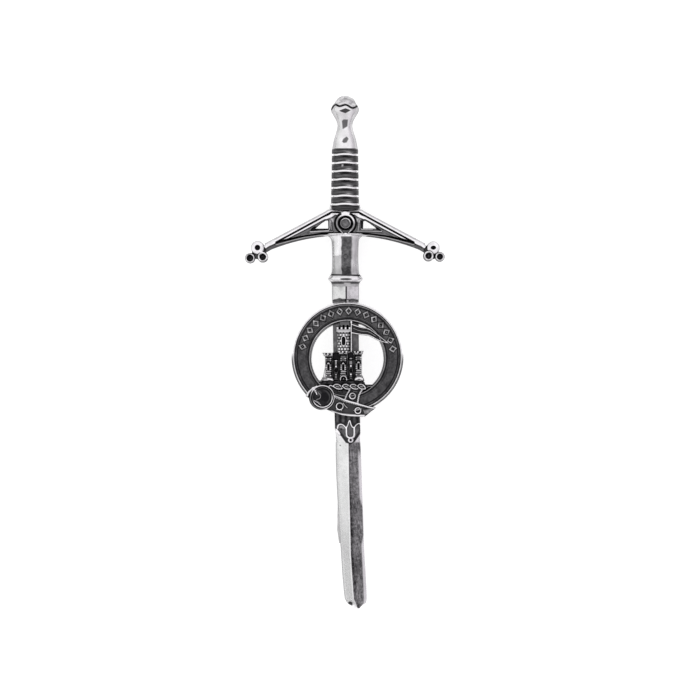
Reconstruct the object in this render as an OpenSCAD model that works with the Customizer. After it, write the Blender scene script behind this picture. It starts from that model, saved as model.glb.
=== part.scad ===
// Kilt pin: a cast pewter sword with a strap-and-buckle badge on its blade
// and a brooch pin on its back. It lies face up: +Z up, +Y to the pommel.

/* [Pommel and grip] */
// Width of the pommel at its shoulders
pommel_w = 5.6; // [4.8:0.1:6.4]
// Length of the pommel and its neck, down to the grip
pommel_len = 10.6; // [9:0.1:12]
// Front-to-back depth of the pommel
pommel_t = 4.4; // [3.8:0.1:5]
// Width of the grip where it meets the guard
grip_w = 5.8; // [5.2:0.1:6.2]
// Length of the grip
grip_len = 12.2; // [10:0.1:14]
// Front-to-back depth of the grip
grip_t = 3.6; // [3.2:0.1:4.2]
// Number of raised ribs round the grip
rib_count = 7; // [5:1:9]
// How far each rib stands proud
rib_rise = 0.24; // [0.14:0.02:0.34]

/* [Guard] */
// Span of the two arms, without their end rings
guard_span = 32.1; // [28:0.1:36]
// Height of the guard at its middle
guard_h = 5.4; // [4.8:0.1:6]
// How far the tips of the arms hang below the top of the guard
guard_drop = 6.65; // [6.4:0.05:8]
// Rise of the arch under the guard
guard_arch = 2.6; // [2.2:0.1:3.2]
// Thickness of the guard's raised borders
guard_t = 2.2; // [2:0.1:2.6]
// Width of the raised borders
guard_band = 0.85; // [0.6:0.05:0.95]
// Diameter of the round boss
boss_d = 4; // [3.6:0.1:4.4]
// Length of each pierced window
window_len = 3.4; // [2.4:0.1:3.8]
// Diameter of the small end rings
lobe_d = 2.1; // [1.9:0.05:2.3]
// Diameter of the blind holes in the end rings
lobe_hole_d = 1.05; // [0.8:0.05:1.2]
// Thickness of the end rings
lobe_t = 2.5; // [2.2:0.1:2.8]

/* [Blade] */
// Length of the plain faceted stretch between guard and collar
ricasso_len = 7.5; // [6.5:0.1:9]
// Width of that stretch
ricasso_w = 5.4; // [5:0.1:5.8]
// Its thickness
ricasso_t = 2.6; // [2.3:0.1:3]
// Width of the collar
collar_w = 6.9; // [6.3:0.1:7.4]
// Length of the collar
collar_len = 2.2; // [1.8:0.1:2.8]
// Length of the blade below the collar
blade_len = 64.6; // [60:0.2:70]
// Width of the blade
blade_w = 5.3; // [4.9:0.1:5.8]
// Thickness of the blade at its ridge
blade_t = 2.1; // [1.9:0.1:2.5]
// How far the tip stands to the right of the hilt
tip_shift = 2.2; // [1.6:0.1:2.6]
// Thickness of the flat seat under the badge
seat_t = 1.4; // [1.2:0.1:1.6]
// Length of the raised flower ornament below the badge
flower_len = 5.3; // [4.8:0.1:5.8]
// How far raised lines stand above their ground
relief = 0.35; // [0.25:0.05:0.45]

/* [Badge] */
// Outer diameter of the strap ring
badge_d = 21.7; // [20.5:0.1:23]
// Diameter of the ring's opening
badge_hole_d = 15.1; // [14.4:0.1:15.6]
// Thickness of the ring at its raised rims
badge_t = 1.7; // [1.5:0.1:2]
// Width of each rim
rim_w = 0.45; // [0.35:0.05:0.6]
// How far the ring's sides spread from its rims down to its back
badge_draft = 0.35; // [0.2:0.05:0.4]
// Bare blade between the collar and the badge
badge_drop = 3.4; // [2.6:0.1:5]
// How far the badge's centre stands to the right of the hilt
badge_shift = 0.5; // [0:0.1:0.8]
// Number of lozenges on the strap
lozenge_count = 15; // [11:1:17]
// Diameter of the buckle
buckle_d = 5.1; // [4.6:0.1:5.5]
// Width of the strap's free end
tail_w = 2.8; // [2.5:0.1:3]
// Width of the castle at its foot
castle_w = 8.5; // [8:0.1:9]
// Height of the castle's towers
castle_h = 5.7; // [5.2:0.1:6.2]
// Width of one tower
tower_w = 1.45; // [1.2:0.05:1.7]
// How far the castle stands above the rims
castle_rise = 0.25; // [0.15:0.05:0.3]
// How far the strap's free end and the pennon stand above the rims
tail_rise = 0.3; // [0.2:0.05:0.35]
// How far the buckle stands above the rims
buckle_rise = 0.45; // [0.35:0.05:0.5]
// Diameter of the stud that holds the badge on the blade
stud_d = 2.2; // [1.8:0.1:2.4]

/* [Brooch pin] */
// Diameter of the pin stem
stem_d = 1.2; // [1:0.05:1.3]
// Clear height for cloth between stem and blade
cloth_gap = 4.3; // [4.2:0.1:5]
// Metal under the stem, down to the surface that the pin lies on
foot_t = 0.8; // [0.7:0.05:1]
// Width of the hinge block
hinge_w = 5; // [4.6:0.1:5.4]
// Length of the hinge block's feet
hinge_foot_len = 3; // [2.6:0.1:4]
// Length of the catch
catch_len = 3.4; // [3:0.1:4.4]
// Distance from the hinge to the catch
catch_span = 54.2; // [52:0.1:56]
// Length of the point beyond the catch
point_len = 3; // [2.4:0.1:4]
// How far the point stands to the left of the hinge
stem_lean = 1.1; // [0.7:0.05:1.2]
// Diameter of the spigots that fix the fitting
spigot_d = 1.6; // [1.4:0.1:1.8]
// Depth of their blind holes
spigot_len = 0.9; // [0.7:0.05:1]

/* [Fits] */
// Gap between two pieces that lie on each other
seat_gap = 0.1; // [0.05:0.05:0.2]
// Gap round a stud or spigot in its hole
hole_gap = 0.1; // [0.05:0.05:0.15]

/* [Hidden] */
$fn = 64;
// How far joined forms reach into each other, and how far cuts run past a face
weld = 0.3;
cut_over = 1;
// Distance between two sections that make a step
step_gap = 0.1;

// Heights along Y of the joints between the sword's stretches
total_len = pommel_len + grip_len + guard_h + ricasso_len + collar_len + blade_len;
grip_top = total_len / 2 - pommel_len;
guard_top = grip_top - grip_len;
ricasso_top = guard_top - guard_h;
collar_top = ricasso_top - ricasso_len;
blade_top = collar_top - collar_len;
blade_tip = blade_top - blade_len;

// Heights along Z
back_z = foot_t + stem_d + cloth_gap;
seat_z = back_z + seat_t;
badge_z = seat_z + seat_gap;

// The badge and what lies round it on the blade
badge_r = badge_d / 2;
hole_r = badge_hole_d / 2;
band_r = (badge_r + hole_r) / 2;
badge_y = blade_top - badge_drop - badge_r;
floor_t = badge_t - relief;
flower_gap = 1.1;
seat_margin = 0.1;
seat_end = badge_y + badge_r + badge_draft + seat_margin;
flower_top = badge_y - badge_r - flower_gap;
flower_end = flower_top - flower_len;

// Sideways drift of the blade's middle line at height y
function drift(y) =
    let (down = max(0, (guard_top - y) / (guard_top - blade_tip)))
    tip_shift * (0.17 * down + 0.88 * pow(down, 3));

// Places of the castle and the stud, from the badge's centre
castle_x = -0.057 * hole_r - badge_shift;
castle_foot = -0.63 * hole_r;
castle_top = castle_foot + castle_h;
stud_y = badge_y + castle_foot + castle_h / 2;
stud_inset = 0.1;

// Places of the fitting
hinge_y = ricasso_top - ricasso_len * 0.36;
catch_y = hinge_y - catch_span;
stem_z = foot_t + stem_d / 2;

/*
 The sword's spine is one loft through ten-cornered sections. A row holds:
 y, middle x, half width, back z, depth, half width of the front facet,
 shift of that facet, half width of the back, low and high edge of the
 side, and the x and z of the corner between side and front.
*/
function section_corners(row) =
    let (
        y = row[0], x = row[1], w = row[2], z = back_z + row[3], t = row[4],
        face = row[5], shift = row[6], back = row[7],
        low = row[8], high = row[9], corner_x = row[10], corner_z = row[11]
    )
    [
        [x - back, y, z], [x + back, y, z],
        [x + w, y, z + low], [x + w, y, z + high],
        [x + corner_x, y, z + corner_z],
        [x + shift + face, y, z + t], [x + shift - face, y, z + t],
        [x - corner_x, y, z + corner_z],
        [x - w, y, z + high], [x - w, y, z + low]
    ];

// Section with bevelled sides, for the hilt
function hilt_row(y, x, w, t, z = 0, face = 0.42) =
    [y, x, w, z, t, face * w, 0, 0.62 * w, 0.26 * t, 0.66 * t, 0.8 * w, 0.9 * t];

// Section with a ridge, two slopes and bevelled edges, for the blade
function blade_row(y, w, t, ridge) =
    [y, drift(y), w, 0, t, 0.05 * w, ridge * w, 0.9 * w,
     0.12 * t, 0.28 * t, 0.8 * w, 0.46 * t];

// Flat section, for the seat of the badge
function seat_row(y, w) =
    [y, drift(y), w, 0, seat_t, 0.9 * w, 0, 0.9 * w,
     0.15 * seat_t, 0.8 * seat_t, 0.95 * w, 0.93 * seat_t];

// Pommel: share of its length from the top, of its half width, of its depth
pommel_shape = [
    [0.00, 0.26, 0.34], [0.05, 0.56, 0.60], [0.12, 0.74, 0.78],
    [0.19, 0.90, 0.93], [0.25, 1.00, 1.00], [0.31, 0.93, 0.97],
    [0.38, 0.77, 0.84], [0.46, 0.60, 0.70], [0.54, 0.51, 0.62],
    [0.62, 0.54, 0.62], [0.72, 0.66, 0.67], [0.84, 0.79, 0.73],
    [0.96, 0.87, 0.78]
];
pommel_rows = [
    for (s = pommel_shape)
        let (t = pommel_t * s[2])
        hilt_row(total_len / 2 - pommel_len * s[0], 0, pommel_w / 2 * s[1], t,
                 0.38 * (pommel_t - t))
];

// Grip: a narrow valley and a flat-topped rib, again and again
rib_pitch = grip_len / (rib_count + 0.35);
rib_w = 0.36 * rib_pitch;
function grip_row(y, proud) =
    let (down = (grip_top - y) / grip_len)
    hilt_row(y, 0, grip_w / 2 * (0.93 + 0.07 * down) - rib_rise + proud,
             grip_t - rib_rise + proud, 0, 0.45);
grip_rows = concat(
    [grip_row(grip_top, 0)],
    [
        for (i = [0 : rib_count - 1], side = [0 : 3])
            let (
                middle = grip_top - (i + 0.8) * rib_pitch,
                step = [0.5, 0.28, -0.28, -0.5][side] * rib_w * 1.4
            )
            grip_row(middle + step, (side == 1 || side == 2) ? rib_rise : 0)
    ],
    [grip_row(guard_top + step_gap / 2, 0)]
);

// Ricasso: share of its length from the guard, of its half width, of its depth
ricasso_shape = [
    [0.00, 1.36, 1.00], [0.07, 1.34, 1.00], [0.12, 1.08, 0.94],
    [0.25, 0.99, 0.94], [0.60, 0.98, 0.92], [0.94, 1.02, 0.94]
];
core_t = guard_t - relief - weld;
ricasso_rows = concat(
    [
        hilt_row(guard_top - step_gap, 0, grip_w * 0.46, core_t),
        hilt_row(ricasso_top + weld, 0, grip_w * 0.46, core_t)
    ],
    [
        for (s = ricasso_shape)
            let (y = ricasso_top - ricasso_len * s[0])
            hilt_row(y, drift(y), ricasso_w / 2 * s[1], ricasso_t * s[2], 0, 0.36)
    ]
);

// Collar: share of its length from the ricasso, of its half width and depth
collar_shape = [
    [0.00, 0.88, 0.95], [0.14, 0.98, 1.10], [0.32, 1.00, 1.14],
    [0.52, 0.95, 1.06], [0.60, 0.84, 0.92], [1.00, 0.80, 0.84]
];
collar_rows = [
    for (s = collar_shape)
        let (y = collar_top - collar_len * s[0])
        hilt_row(y, drift(y), collar_w / 2 * s[1], ricasso_t * s[2], 0, 0.42)
];

// Blade above the badge, then the flat seat, then the long lower blade
upper_rows = [
    blade_row(blade_top - step_gap, blade_w / 2 * 1.02, blade_t, 0.03),
    blade_row(seat_end + relief, blade_w / 2 * 1.02, blade_t, 0.03)
];
seat_rows = [
    seat_row(seat_end, blade_w / 2),
    seat_row(badge_y + badge_r * 0.5, blade_w / 2 * 0.98),
    seat_row(badge_y - badge_r * 0.5, blade_w / 2 * 0.97),
    seat_row(flower_end + flower_len * 0.45, blade_w / 2 * 0.96)
];
// Share of the way down to the tip, of half width, of depth, ridge shift
lower_shape = [
    [0.00, 0.93, 0.94, 0.02], [0.10, 0.96, 1.00, 0.00], [0.20, 0.97, 1.00, -0.03],
    [0.36, 0.95, 1.00, -0.06], [0.56, 0.91, 0.98, -0.13], [0.66, 0.89, 0.96, -0.19],
    [0.78, 0.89, 0.94, -0.19], [0.88, 0.87, 0.92, -0.19], [0.94, 0.84, 0.88, -0.20]
];
lower_len = flower_end - blade_tip;
lower_rows = [
    for (s = lower_shape)
        blade_row(flower_end - lower_len * s[0], blade_w / 2 * s[1], blade_t * s[2], s[3])
];
// Way up from the tip and to its right, then shares of blade_w or blade_t
function tip_row(up, right, w, z, t, face, shift, back, low, high, corner_x, corner_z) =
    [blade_tip + up, drift(blade_tip) + right, blade_w * w, blade_t * z, blade_t * t,
     blade_w * face, blade_w * shift, blade_w * back, blade_t * low, blade_t * high,
     blade_w * corner_x, blade_t * corner_z];
tip_rows = [
    tip_row(lower_len * 0.032, 0, 0.37, 0.02, 0.7, 0.02, -0.04, 0.33, 0.1, 0.24, 0.3, 0.38),
    tip_row(0, blade_w * 0.05, 0.08, 0.05, 0.4, 0.01, -0.01, 0.066, 0.1, 0.19, 0.056, 0.28)
];

spine_rows = concat(pommel_rows, grip_rows, ricasso_rows, collar_rows,
                    upper_rows, seat_rows, lower_rows, tip_rows);

// Closed loft through rows of sections
module loft(rows) {
    corners = [for (row = rows) each section_corners(row)];
    sides = len(section_corners(rows[0]));
    last = len(rows) - 1;
    polyhedron(
        points = corners,
        faces = concat(
            [[for (i = [0 : sides - 1]) i]],
            [[for (i = [sides - 1 : -1 : 0]) last * sides + i]],
            [
                for (r = [0 : last - 1], i = [0 : sides - 1], half = [0, 1])
                    let (
                        a = r * sides + i,
                        b = r * sides + (i + 1) % sides,
                        c = b + sides,
                        d = a + sides
                    )
                    half == 0 ? [a, c, b] : [a, d, c]
            ]
        )
    );
}

// Flat line of the given width through a list of points, a little wider at each
module stroke(points, w) {
    knot = 1.06;
    for (i = [0 : len(points) - 2]) {
        step = points[i + 1] - points[i];
        translate(points[i])
            rotate(atan2(step[1], step[0]))
                translate([0, -w / 2])
                    square([norm(step), w]);
    }
    for (p = points)
        translate(p)
            circle(d = w * knot);
}

module both_sides() {
    children();
    mirror([1, 0, 0])
        children();
}

// Arch under the guard, and the corners of its right arm
arm_tip = [guard_span / 2, guard_top - guard_drop];
arm_heel = arm_tip - guard_h * [0.167, 0.25];
arch_reach = arm_heel[0];
arch_r = (arch_reach * arch_reach + guard_arch * guard_arch) / (2 * guard_arch);
shoulder = [grip_w * 0.603, guard_top];
slope = atan2(arm_tip[1] - shoulder[1], arm_tip[0] - shoulder[0]);

module guard_outline(band = 0) {
    inset = [0, -band / cos(slope)];
    below = arm_heel + (arm_heel - arm_tip) * 0.6;
    difference() {
        polygon([
            shoulder + inset, arm_tip + inset, below,
            [-below[0], below[1]],
            [-arm_tip[0], arm_tip[1]] + inset, [-shoulder[0], shoulder[1]] + inset
        ]);
        translate([0, ricasso_top - arch_r])
            circle(r = arch_r + band * 0.75, $fn = 180);
    }
}

// Window beside the boss, in the right arm
window_x = boss_d * 0.888;
window_y = ricasso_top + guard_h * 0.303;
window_h = window_len * tan(-slope) * 0.86;
module window_outline(rim = 0) {
    polygon([
        [window_x - rim, window_y - rim],
        [window_x + window_len + rim * 2.6, window_y - rim],
        [window_x - rim, window_y + window_h + rim * 1.6]
    ]);
}

module guard() {
    ground = guard_t - relief;
    rim = guard_band * 0.41;
    translate([0, 0, back_z])
        difference() {
            union() {
                linear_extrude(ground)
                    guard_outline();
                linear_extrude(guard_t)
                    difference() {
                        guard_outline();
                        guard_outline(guard_band);
                    }
                linear_extrude(guard_t - relief * 0.4)
                    intersection() {
                        guard_outline();
                        both_sides()
                            window_outline(rim);
                    }
            }
            translate([0, 0, -cut_over])
                linear_extrude(guard_t + 2 * cut_over)
                    both_sides()
                        window_outline();
        }
}

// Round boss: a stepped disk with a groove and a sunk eye
module boss() {
    groove_r = boss_d * 0.37;
    ring_r = boss_d * 0.29;
    eye_r = boss_d * 0.21;
    top = guard_t + relief;
    translate([0, ricasso_top + guard_h * 0.51, back_z + guard_t * 0.09])
        difference() {
            cylinder(d = boss_d, h = top);
            translate([0, 0, top - relief])
                difference() {
                    cylinder(r = groove_r, h = cut_over);
                    translate([0, 0, -cut_over])
                        cylinder(r = ring_r, h = 3 * cut_over);
                }
            translate([0, 0, top - relief * 0.8])
                cylinder(r = eye_r, h = cut_over);
        }
}

// Three end rings with blind holes on each arm
lobe_angles = [95, 206, 332];
lobe_scales = [1.28, 1, 1];
lobe_reach = lobe_d * 0.62;
cluster = arm_tip + [lobe_d * 0.82, -lobe_d * 1.02];
module end_rings() {
    hole_depth = lobe_t * 0.45;
    neck_w = lobe_d / 2;
    base_z = back_z + lobe_t * 0.08;
    difference() {
        union() {
            for (i = [0 : 2])
                translate(concat(cluster, back_z))
                    rotate(lobe_angles[i])
                        translate([lobe_reach, 0, 0])
                            cylinder(d = lobe_d * lobe_scales[i], h = lobe_t);
            translate(concat(cluster, base_z))
                cylinder(d = lobe_d * 0.9, h = lobe_t * 0.6);
            translate(concat((arm_tip + arm_heel) / 2, base_z))
                rotate(slope * 0.7)
                    translate([-neck_w / 2, -neck_w / 2, 0])
                        cube([lobe_d * 1.3, neck_w, lobe_t * 0.56]);
        }
        for (i = [0 : 2])
            translate(concat(cluster, back_z + lobe_t - hole_depth))
                rotate(lobe_angles[i])
                    translate([lobe_reach, 0, 0])
                        cylinder(d = lobe_hole_d, h = hole_depth + cut_over);
    }
}

// Incised wave and sunk diamond on the pommel's front
module pommel_cuts() {
    wave_y = total_len / 2 - pommel_len * 0.22;
    wave_rise = pommel_len * 0.021;
    wave_depth = relief * 0.86;
    wave_w = relief * 0.8;
    diamond_w = pommel_w * 0.37;
    diamond_h = pommel_len * 0.1;
    wave = [
        for (s = [-0.5 : 0.125 : 0.5])
            [pommel_w * 0.8 * s, wave_y + wave_rise * (cos(720 * s) + 0.4 - 1.6 * abs(s))]
    ];
    front = back_z + pommel_t;
    translate([0, 0, front - wave_depth])
        linear_extrude(cut_over)
            stroke(wave, wave_w);
    translate([0, wave_y - diamond_h * 0.9, front - wave_depth * 1.5])
        linear_extrude(cut_over)
            polygon([[-diamond_w / 2, 0], [0, -diamond_h / 2], [diamond_w / 2, 0], [0, diamond_h / 2]]);
}

// Flower ornament: raised lines on the dark ground under the badge.
// Points are shares of its half width and of its length from the top
flower_w = blade_w * 0.96 / 2;
flower_spear = [[-0.2, 0.36], [0, 0.12], [0.2, 0.36]];
flower_cup = [[-0.3, 0.3], [-0.3, 0.68], [-0.16, 0.8], [0.16, 0.8], [0.3, 0.68], [0.3, 0.3]];
flower_curl = [[0.3, 0.44], [0.42, 0.3], [0.62, 0.25], [0.8, 0.3], [0.84, 0.42]];
flower_leaf = [[0.78, 0.5], [0.66, 0.66], [0.42, 0.84], [0.24, 0.97]];

function flower_point(p) =
    let (y = flower_top - p[1] * flower_len)
    [drift(y) + p[0] * flower_w, y];

module flower() {
    line_w = relief;
    mid = flower_point([0, 0.9]);
    translate([0, 0, seat_z - weld])
        linear_extrude(weld + relief) {
            stroke([for (p = flower_spear) flower_point(p)], line_w);
            stroke([for (p = flower_cup) flower_point(p)], line_w);
            for (side = [-1, 1]) {
                stroke([for (p = flower_curl) flower_point([side * p[0], p[1]])], line_w);
                stroke([for (p = flower_leaf) flower_point([side * p[0], p[1]])], line_w);
            }
            translate(mid)
                circle(d = line_w * 2.8);
        }
}

// Holes in the sword: a round one for the badge's stud, two blind ones behind
catch_x = drift(catch_y);
module sword_holes() {
    translate([drift(stud_y), stud_y, back_z - cut_over])
        cylinder(d = stud_d + 2 * hole_gap, h = seat_t + 2 * cut_over);
    for (place = [[drift(hinge_y), hinge_y], [catch_x, catch_y]])
        translate(concat(place, back_z - cut_over))
            cylinder(d = spigot_d + 2 * hole_gap, h = spigot_len + hole_gap + cut_over);
}

module sword() {
    color("silver")
        difference() {
            union() {
                loft(spine_rows);
                guard();
                boss();
                both_sides()
                    end_rings();
                flower();
            }
            pommel_cuts();
            sword_holes();
        }
}

// Strap ring with two raised rims and drafted sides
module strap_ring() {
    difference() {
        cylinder(r1 = badge_r + badge_draft, r2 = badge_r, h = badge_t, $fn = 128);
        translate([0, 0, floor_t])
            difference() {
                cylinder(r = badge_r - rim_w, h = badge_t, $fn = 128);
                translate([0, 0, -cut_over])
                    cylinder(r = hole_r + rim_w, h = badge_t + 2 * cut_over, $fn = 128);
            }
        cylinder(r1 = hole_r - badge_draft, r2 = hole_r, h = badge_t, $fn = 128);
        translate([0, 0, -cut_over])
            cylinder(r = hole_r - badge_draft, h = badge_t + cut_over, $fn = 128);
        translate([0, 0, badge_t])
            cylinder(r = hole_r, h = cut_over, $fn = 128);
    }
}

// Row of raised lozenges with a pellet in each, over the top of the ring
module lozenge_row() {
    line_w = relief * 1.1;
    row_start = 2;
    row_angle = 168;
    half_h = ((badge_r - hole_r) / 2 - rim_w) * 0.75;
    pitch = row_angle / lozenge_count;
    half_w = band_r * sin(pitch / 2) * 0.92;
    translate([0, 0, floor_t - weld])
        linear_extrude(weld + relief * 0.8)
            for (i = [0 : lozenge_count - 1])
                rotate(row_start + (i + 0.5) * pitch)
                    translate([band_r, 0]) {
                        difference() {
                            polygon([[-half_h, 0], [0, -half_w], [half_h, 0], [0, half_w]]);
                            polygon([
                                [line_w - half_h, 0], [0, line_w - half_w],
                                [half_h - line_w, 0], [0, half_w - line_w]
                            ]);
                        }
                        circle(d = line_w);
                    }
}

// Ground that closes the lowest part of the ring's opening
module lower_ground() {
    linear_extrude(floor_t * 0.89)
        intersection() {
            circle(r = hole_r + weld, $fn = 128);
            translate([-hole_r, -2 * hole_r])
                square([2 * hole_r, 2 * hole_r + castle_foot - ledge_h * 0.8]);
        }
}

// Ledge under the castle, out to the ring on its left
ledge_h = castle_h * 0.114;
module ledge() {
    left = -sqrt(hole_r * hole_r - castle_foot * castle_foot) - weld;
    right = castle_x + castle_w * 0.53;
    translate([left, castle_foot - ledge_h * 0.85, 0])
        cube([right - left, ledge_h, badge_t * 0.88]);
}

// One tower: a prism with bevelled front, a cap with merlons and a flared foot
module tower(x, height, foot_out) {
    w = tower_w;
    depth = badge_t + castle_rise;
    cap_w = w * 1.35;
    cap_h = castle_h * 0.15;
    notch = cap_w * 0.16;
    translate([x, castle_foot, 0]) {
        difference() {
            union() {
                translate([0, height - cap_h / 2, 0])
                    rotate([90, 0, 0])
                        linear_extrude(height - cap_h / 2)
                            polygon([
                                [-w / 2, 0], [w / 2, 0], [w / 2, depth * 0.72],
                                [w * 0.26, depth], [-w * 0.26, depth], [-w / 2, depth * 0.72]
                            ]);
                translate([-cap_w / 2, height - cap_h, 0])
                    cube([cap_w, cap_h, depth + relief * 0.35]);
                linear_extrude(depth * 0.86)
                    polygon([
                        [-w / 2 - foot_out, 0], [w / 2 + foot_out, 0],
                        [w / 2, castle_h * 0.16], [-w / 2, castle_h * 0.16]
                    ]);
            }
            for (side = [-1, 1])
                translate([side * cap_w * 0.2 - notch / 2, height - cap_h * 0.55, depth * 0.4])
                    cube([notch, cap_h, depth]);
            translate([0, height * 0.6, depth - relief])
                linear_extrude(cut_over) {
                    translate([-w * 0.12, -castle_h * 0.12])
                        square([w * 0.24, castle_h * 0.2]);
                    translate([0, castle_h * 0.08])
                        circle(d = w * 0.34);
                }
        }
    }
}

foot_flare = castle_w * 0.06;
tower_pitch = castle_w * 0.424 - tower_w / 2;
tower_xs = [for (side = [-1, 0, 1]) castle_x + side * tower_pitch];

// Castle: three towers, two curtain walls with round windows, a door
module castle() {
    wall_t = badge_t * 0.735;
    wall_top = castle_foot + castle_h * 0.9;
    door_w = tower_w * 0.62;
    difference() {
        translate([tower_xs[0], castle_foot, 0])
            cube([tower_xs[2] - tower_xs[0], wall_top - castle_foot, wall_t]);
        for (i = [0, 1])
            translate([(tower_xs[i] + tower_xs[i + 1]) / 2, castle_foot + castle_h * 0.34,
                       wall_t - relief])
                cylinder(d = tower_w * 0.52, h = cut_over);
    }
    difference() {
        union() {
            tower(tower_xs[0], castle_h, foot_flare);
            tower(tower_xs[1], castle_h * 1.05, foot_flare / 2);
            tower(tower_xs[2], castle_h, foot_flare);
        }
        translate([castle_x, castle_foot, badge_t * 0.75])
            linear_extrude(cut_over * 2) {
                translate([-door_w / 2, -cut_over])
                    square([door_w, cut_over + castle_h * 0.1]);
                translate([0, castle_h * 0.1])
                    circle(d = door_w);
            }
    }
}

// Twisted wreath under the castle: a row of slanted strands
module wreath() {
    strands = 6;
    length = castle_w * 0.84;
    pitch = length / strands;
    height = castle_h * 0.158;
    top = castle_foot - ledge_h * 0.77;
    slant = height * 0.39;
    translate([castle_x - castle_w * 0.28, top - height, floor_t - weld])
        linear_extrude(weld + relief + castle_rise * 0.6)
            for (i = [0 : strands - 1])
                translate([i * pitch, 0])
                    polygon([
                        [0, height * 0.11], [pitch * 0.62, 0], [pitch * 0.86 + slant, height * 0.9],
                        [slant * 0.6, height]
                    ]);
}

// Keep above the castle, joined to the ring at its top
keep_x = castle_x + tower_w * 0.1;
keep_w = tower_w * 1.75;
module keep() {
    foot = castle_top - castle_h * 0.158;
    top = hole_r * 0.8;
    depth = badge_t + castle_rise * 0.4;
    cap_w = keep_w * 1.2;
    cap_h = hole_r * 0.13;
    notch = cap_w * 0.13;
    slit_w = keep_w * 0.16;
    difference() {
        union() {
            translate([keep_x, top - cap_h / 2, 0])
                rotate([90, 0, 0])
                    linear_extrude(top - cap_h / 2 - foot)
                        polygon([
                            [-keep_w / 2, 0], [keep_w / 2, 0], [keep_w / 2, depth * 0.7],
                            [keep_w * 0.25, depth], [-keep_w * 0.25, depth],
                            [-keep_w / 2, depth * 0.7]
                        ]);
            translate([keep_x - cap_w / 2, top - cap_h, 0])
                cube([cap_w, cap_h, depth + relief * 0.4]);
        }
        for (i = [-1, 0, 1])
            translate([keep_x + i * cap_w * 0.26 - notch / 2, top - cap_h / 2, depth * 0.4])
                cube([notch, cap_h, depth]);
        translate([keep_x, foot + (top - foot) * 0.5, depth - relief])
            linear_extrude(cut_over) {
                translate([-slit_w / 2, -slit_w * 1.5])
                    square([slit_w, slit_w * 2.5]);
                translate([0, slit_w])
                    circle(d = slit_w * 1.4);
            }
    }
    // Low ground behind the battlement, up to the rim
    translate([keep_x - keep_w * 0.3, top - cap_h / 2, 0])
        cube([keep_w * 0.8, hole_r - top + cap_h / 2 + weld / 2, badge_t * 0.7]);
}

// Long pennon that flies from a staff on the keep over the ring.
// Columns: share of its length, upper edge and lower edge as shares of hole_r
staff_w = keep_w * 0.2;
staff_x = keep_x + keep_w / 2 + staff_w * 0.7;
pennon_shape = [
    [0.00, 0.88, 0.62], [0.22, 0.80, 0.58], [0.45, 0.76, 0.55],
    [0.70, 0.58, 0.43], [1.00, 0.34, 0.33]
];
module pennon_outline(inset) {
    length = band_r * 0.92 - staff_x;
    polygon(concat(
        [for (s = pennon_shape) [staff_x + s[0] * length * (1 - inset * 0.2) + inset * 0.6,
                                 hole_r * s[1] - inset]],
        [for (i = [len(pennon_shape) - 1 : -1 : 0])
            let (s = pennon_shape[i])
            [staff_x + s[0] * length * (1 - inset * 0.2) + inset * 0.6,
             hole_r * s[2] + inset * (i == len(pennon_shape) - 1 ? -0.4 : 1)]]
    ));
}
module pennon() {
    top = badge_t + tail_rise;
    base = badge_t * 0.18;
    difference() {
        translate([0, 0, base])
            linear_extrude(top - base)
                pennon_outline(0);
        translate([0, 0, top - relief])
            linear_extrude(cut_over)
                intersection() {
                    pennon_outline(relief * 0.86);
                    translate([staff_x, 0])
                        square([hole_r * 0.72, hole_r]);
                }
    }
    translate([staff_x - staff_w * 0.7, castle_top - weld, 0])
        cube([staff_w, sqrt(hole_r * hole_r - staff_x * staff_x) - castle_top + 2 * weld,
              badge_t + castle_rise * 0.6]);
}

// Round buckle with its tongue, on the strap's lower left
buckle_angle = 237;
buckle_at = band_r * 1.027 * [cos(buckle_angle), sin(buckle_angle)];
module buckle() {
    top = badge_t + buckle_rise;
    inner_r = buckle_d * 0.37;
    tongue_w = buckle_d * 0.086;
    translate(concat(buckle_at, 0)) {
        difference() {
            cylinder(d = buckle_d, h = top);
            translate([0, 0, badge_t * 0.5])
                cylinder(r = inner_r, h = top);
        }
        rotate(150)
            translate([0, -tongue_w / 2, badge_t * 0.5 - weld])
                cube([buckle_d * 0.46, tongue_w, badge_t * 0.62 + weld]);
        rotate(165)
            translate([buckle_d * 0.5, 0, badge_t * 0.12])
                cylinder(d = buckle_d * 0.216, h = badge_t);
    }
}

// Free end of the strap, laid over the bottom of the ring, with eyelets
tail_angle = -13.6;
tail_len = badge_r * 0.97;
eyelet_d = tail_w * 0.57;
module eyelet(x, y, base, top) {
    translate([x, y, base])
        difference() {
            cylinder(d = eyelet_d, h = top - base);
            translate([0, 0, top - base - relief * 1.4])
                cylinder(d = eyelet_d * 0.55, h = cut_over);
        }
}
module tail_outline(inset) {
    polygon([
        [buckle_d * 0.3, -tail_w / 2 + inset],
        [tail_len * 0.84, -tail_w * 0.38 + inset],
        [tail_len - inset, tail_w * 0.02],
        [tail_len * 1.02 - inset, tail_w * 0.36 - inset],
        [buckle_d * 0.3, tail_w / 2 - inset]
    ]);
}
module tail() {
    top = badge_t + tail_rise;
    ground = top - relief;
    translate(concat(buckle_at, 0))
        rotate(tail_angle)
            translate([0, -buckle_d * 0.18, 0]) {
                difference() {
                    linear_extrude(top)
                        tail_outline(0);
                    translate([0, 0, ground])
                        linear_extrude(cut_over)
                            tail_outline(relief);
                }
                eyelet(tail_len * 0.38, 0, ground - weld, top);
                eyelet(tail_len * 0.73, 0, ground - weld, top * 0.975);
            }
}

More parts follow.
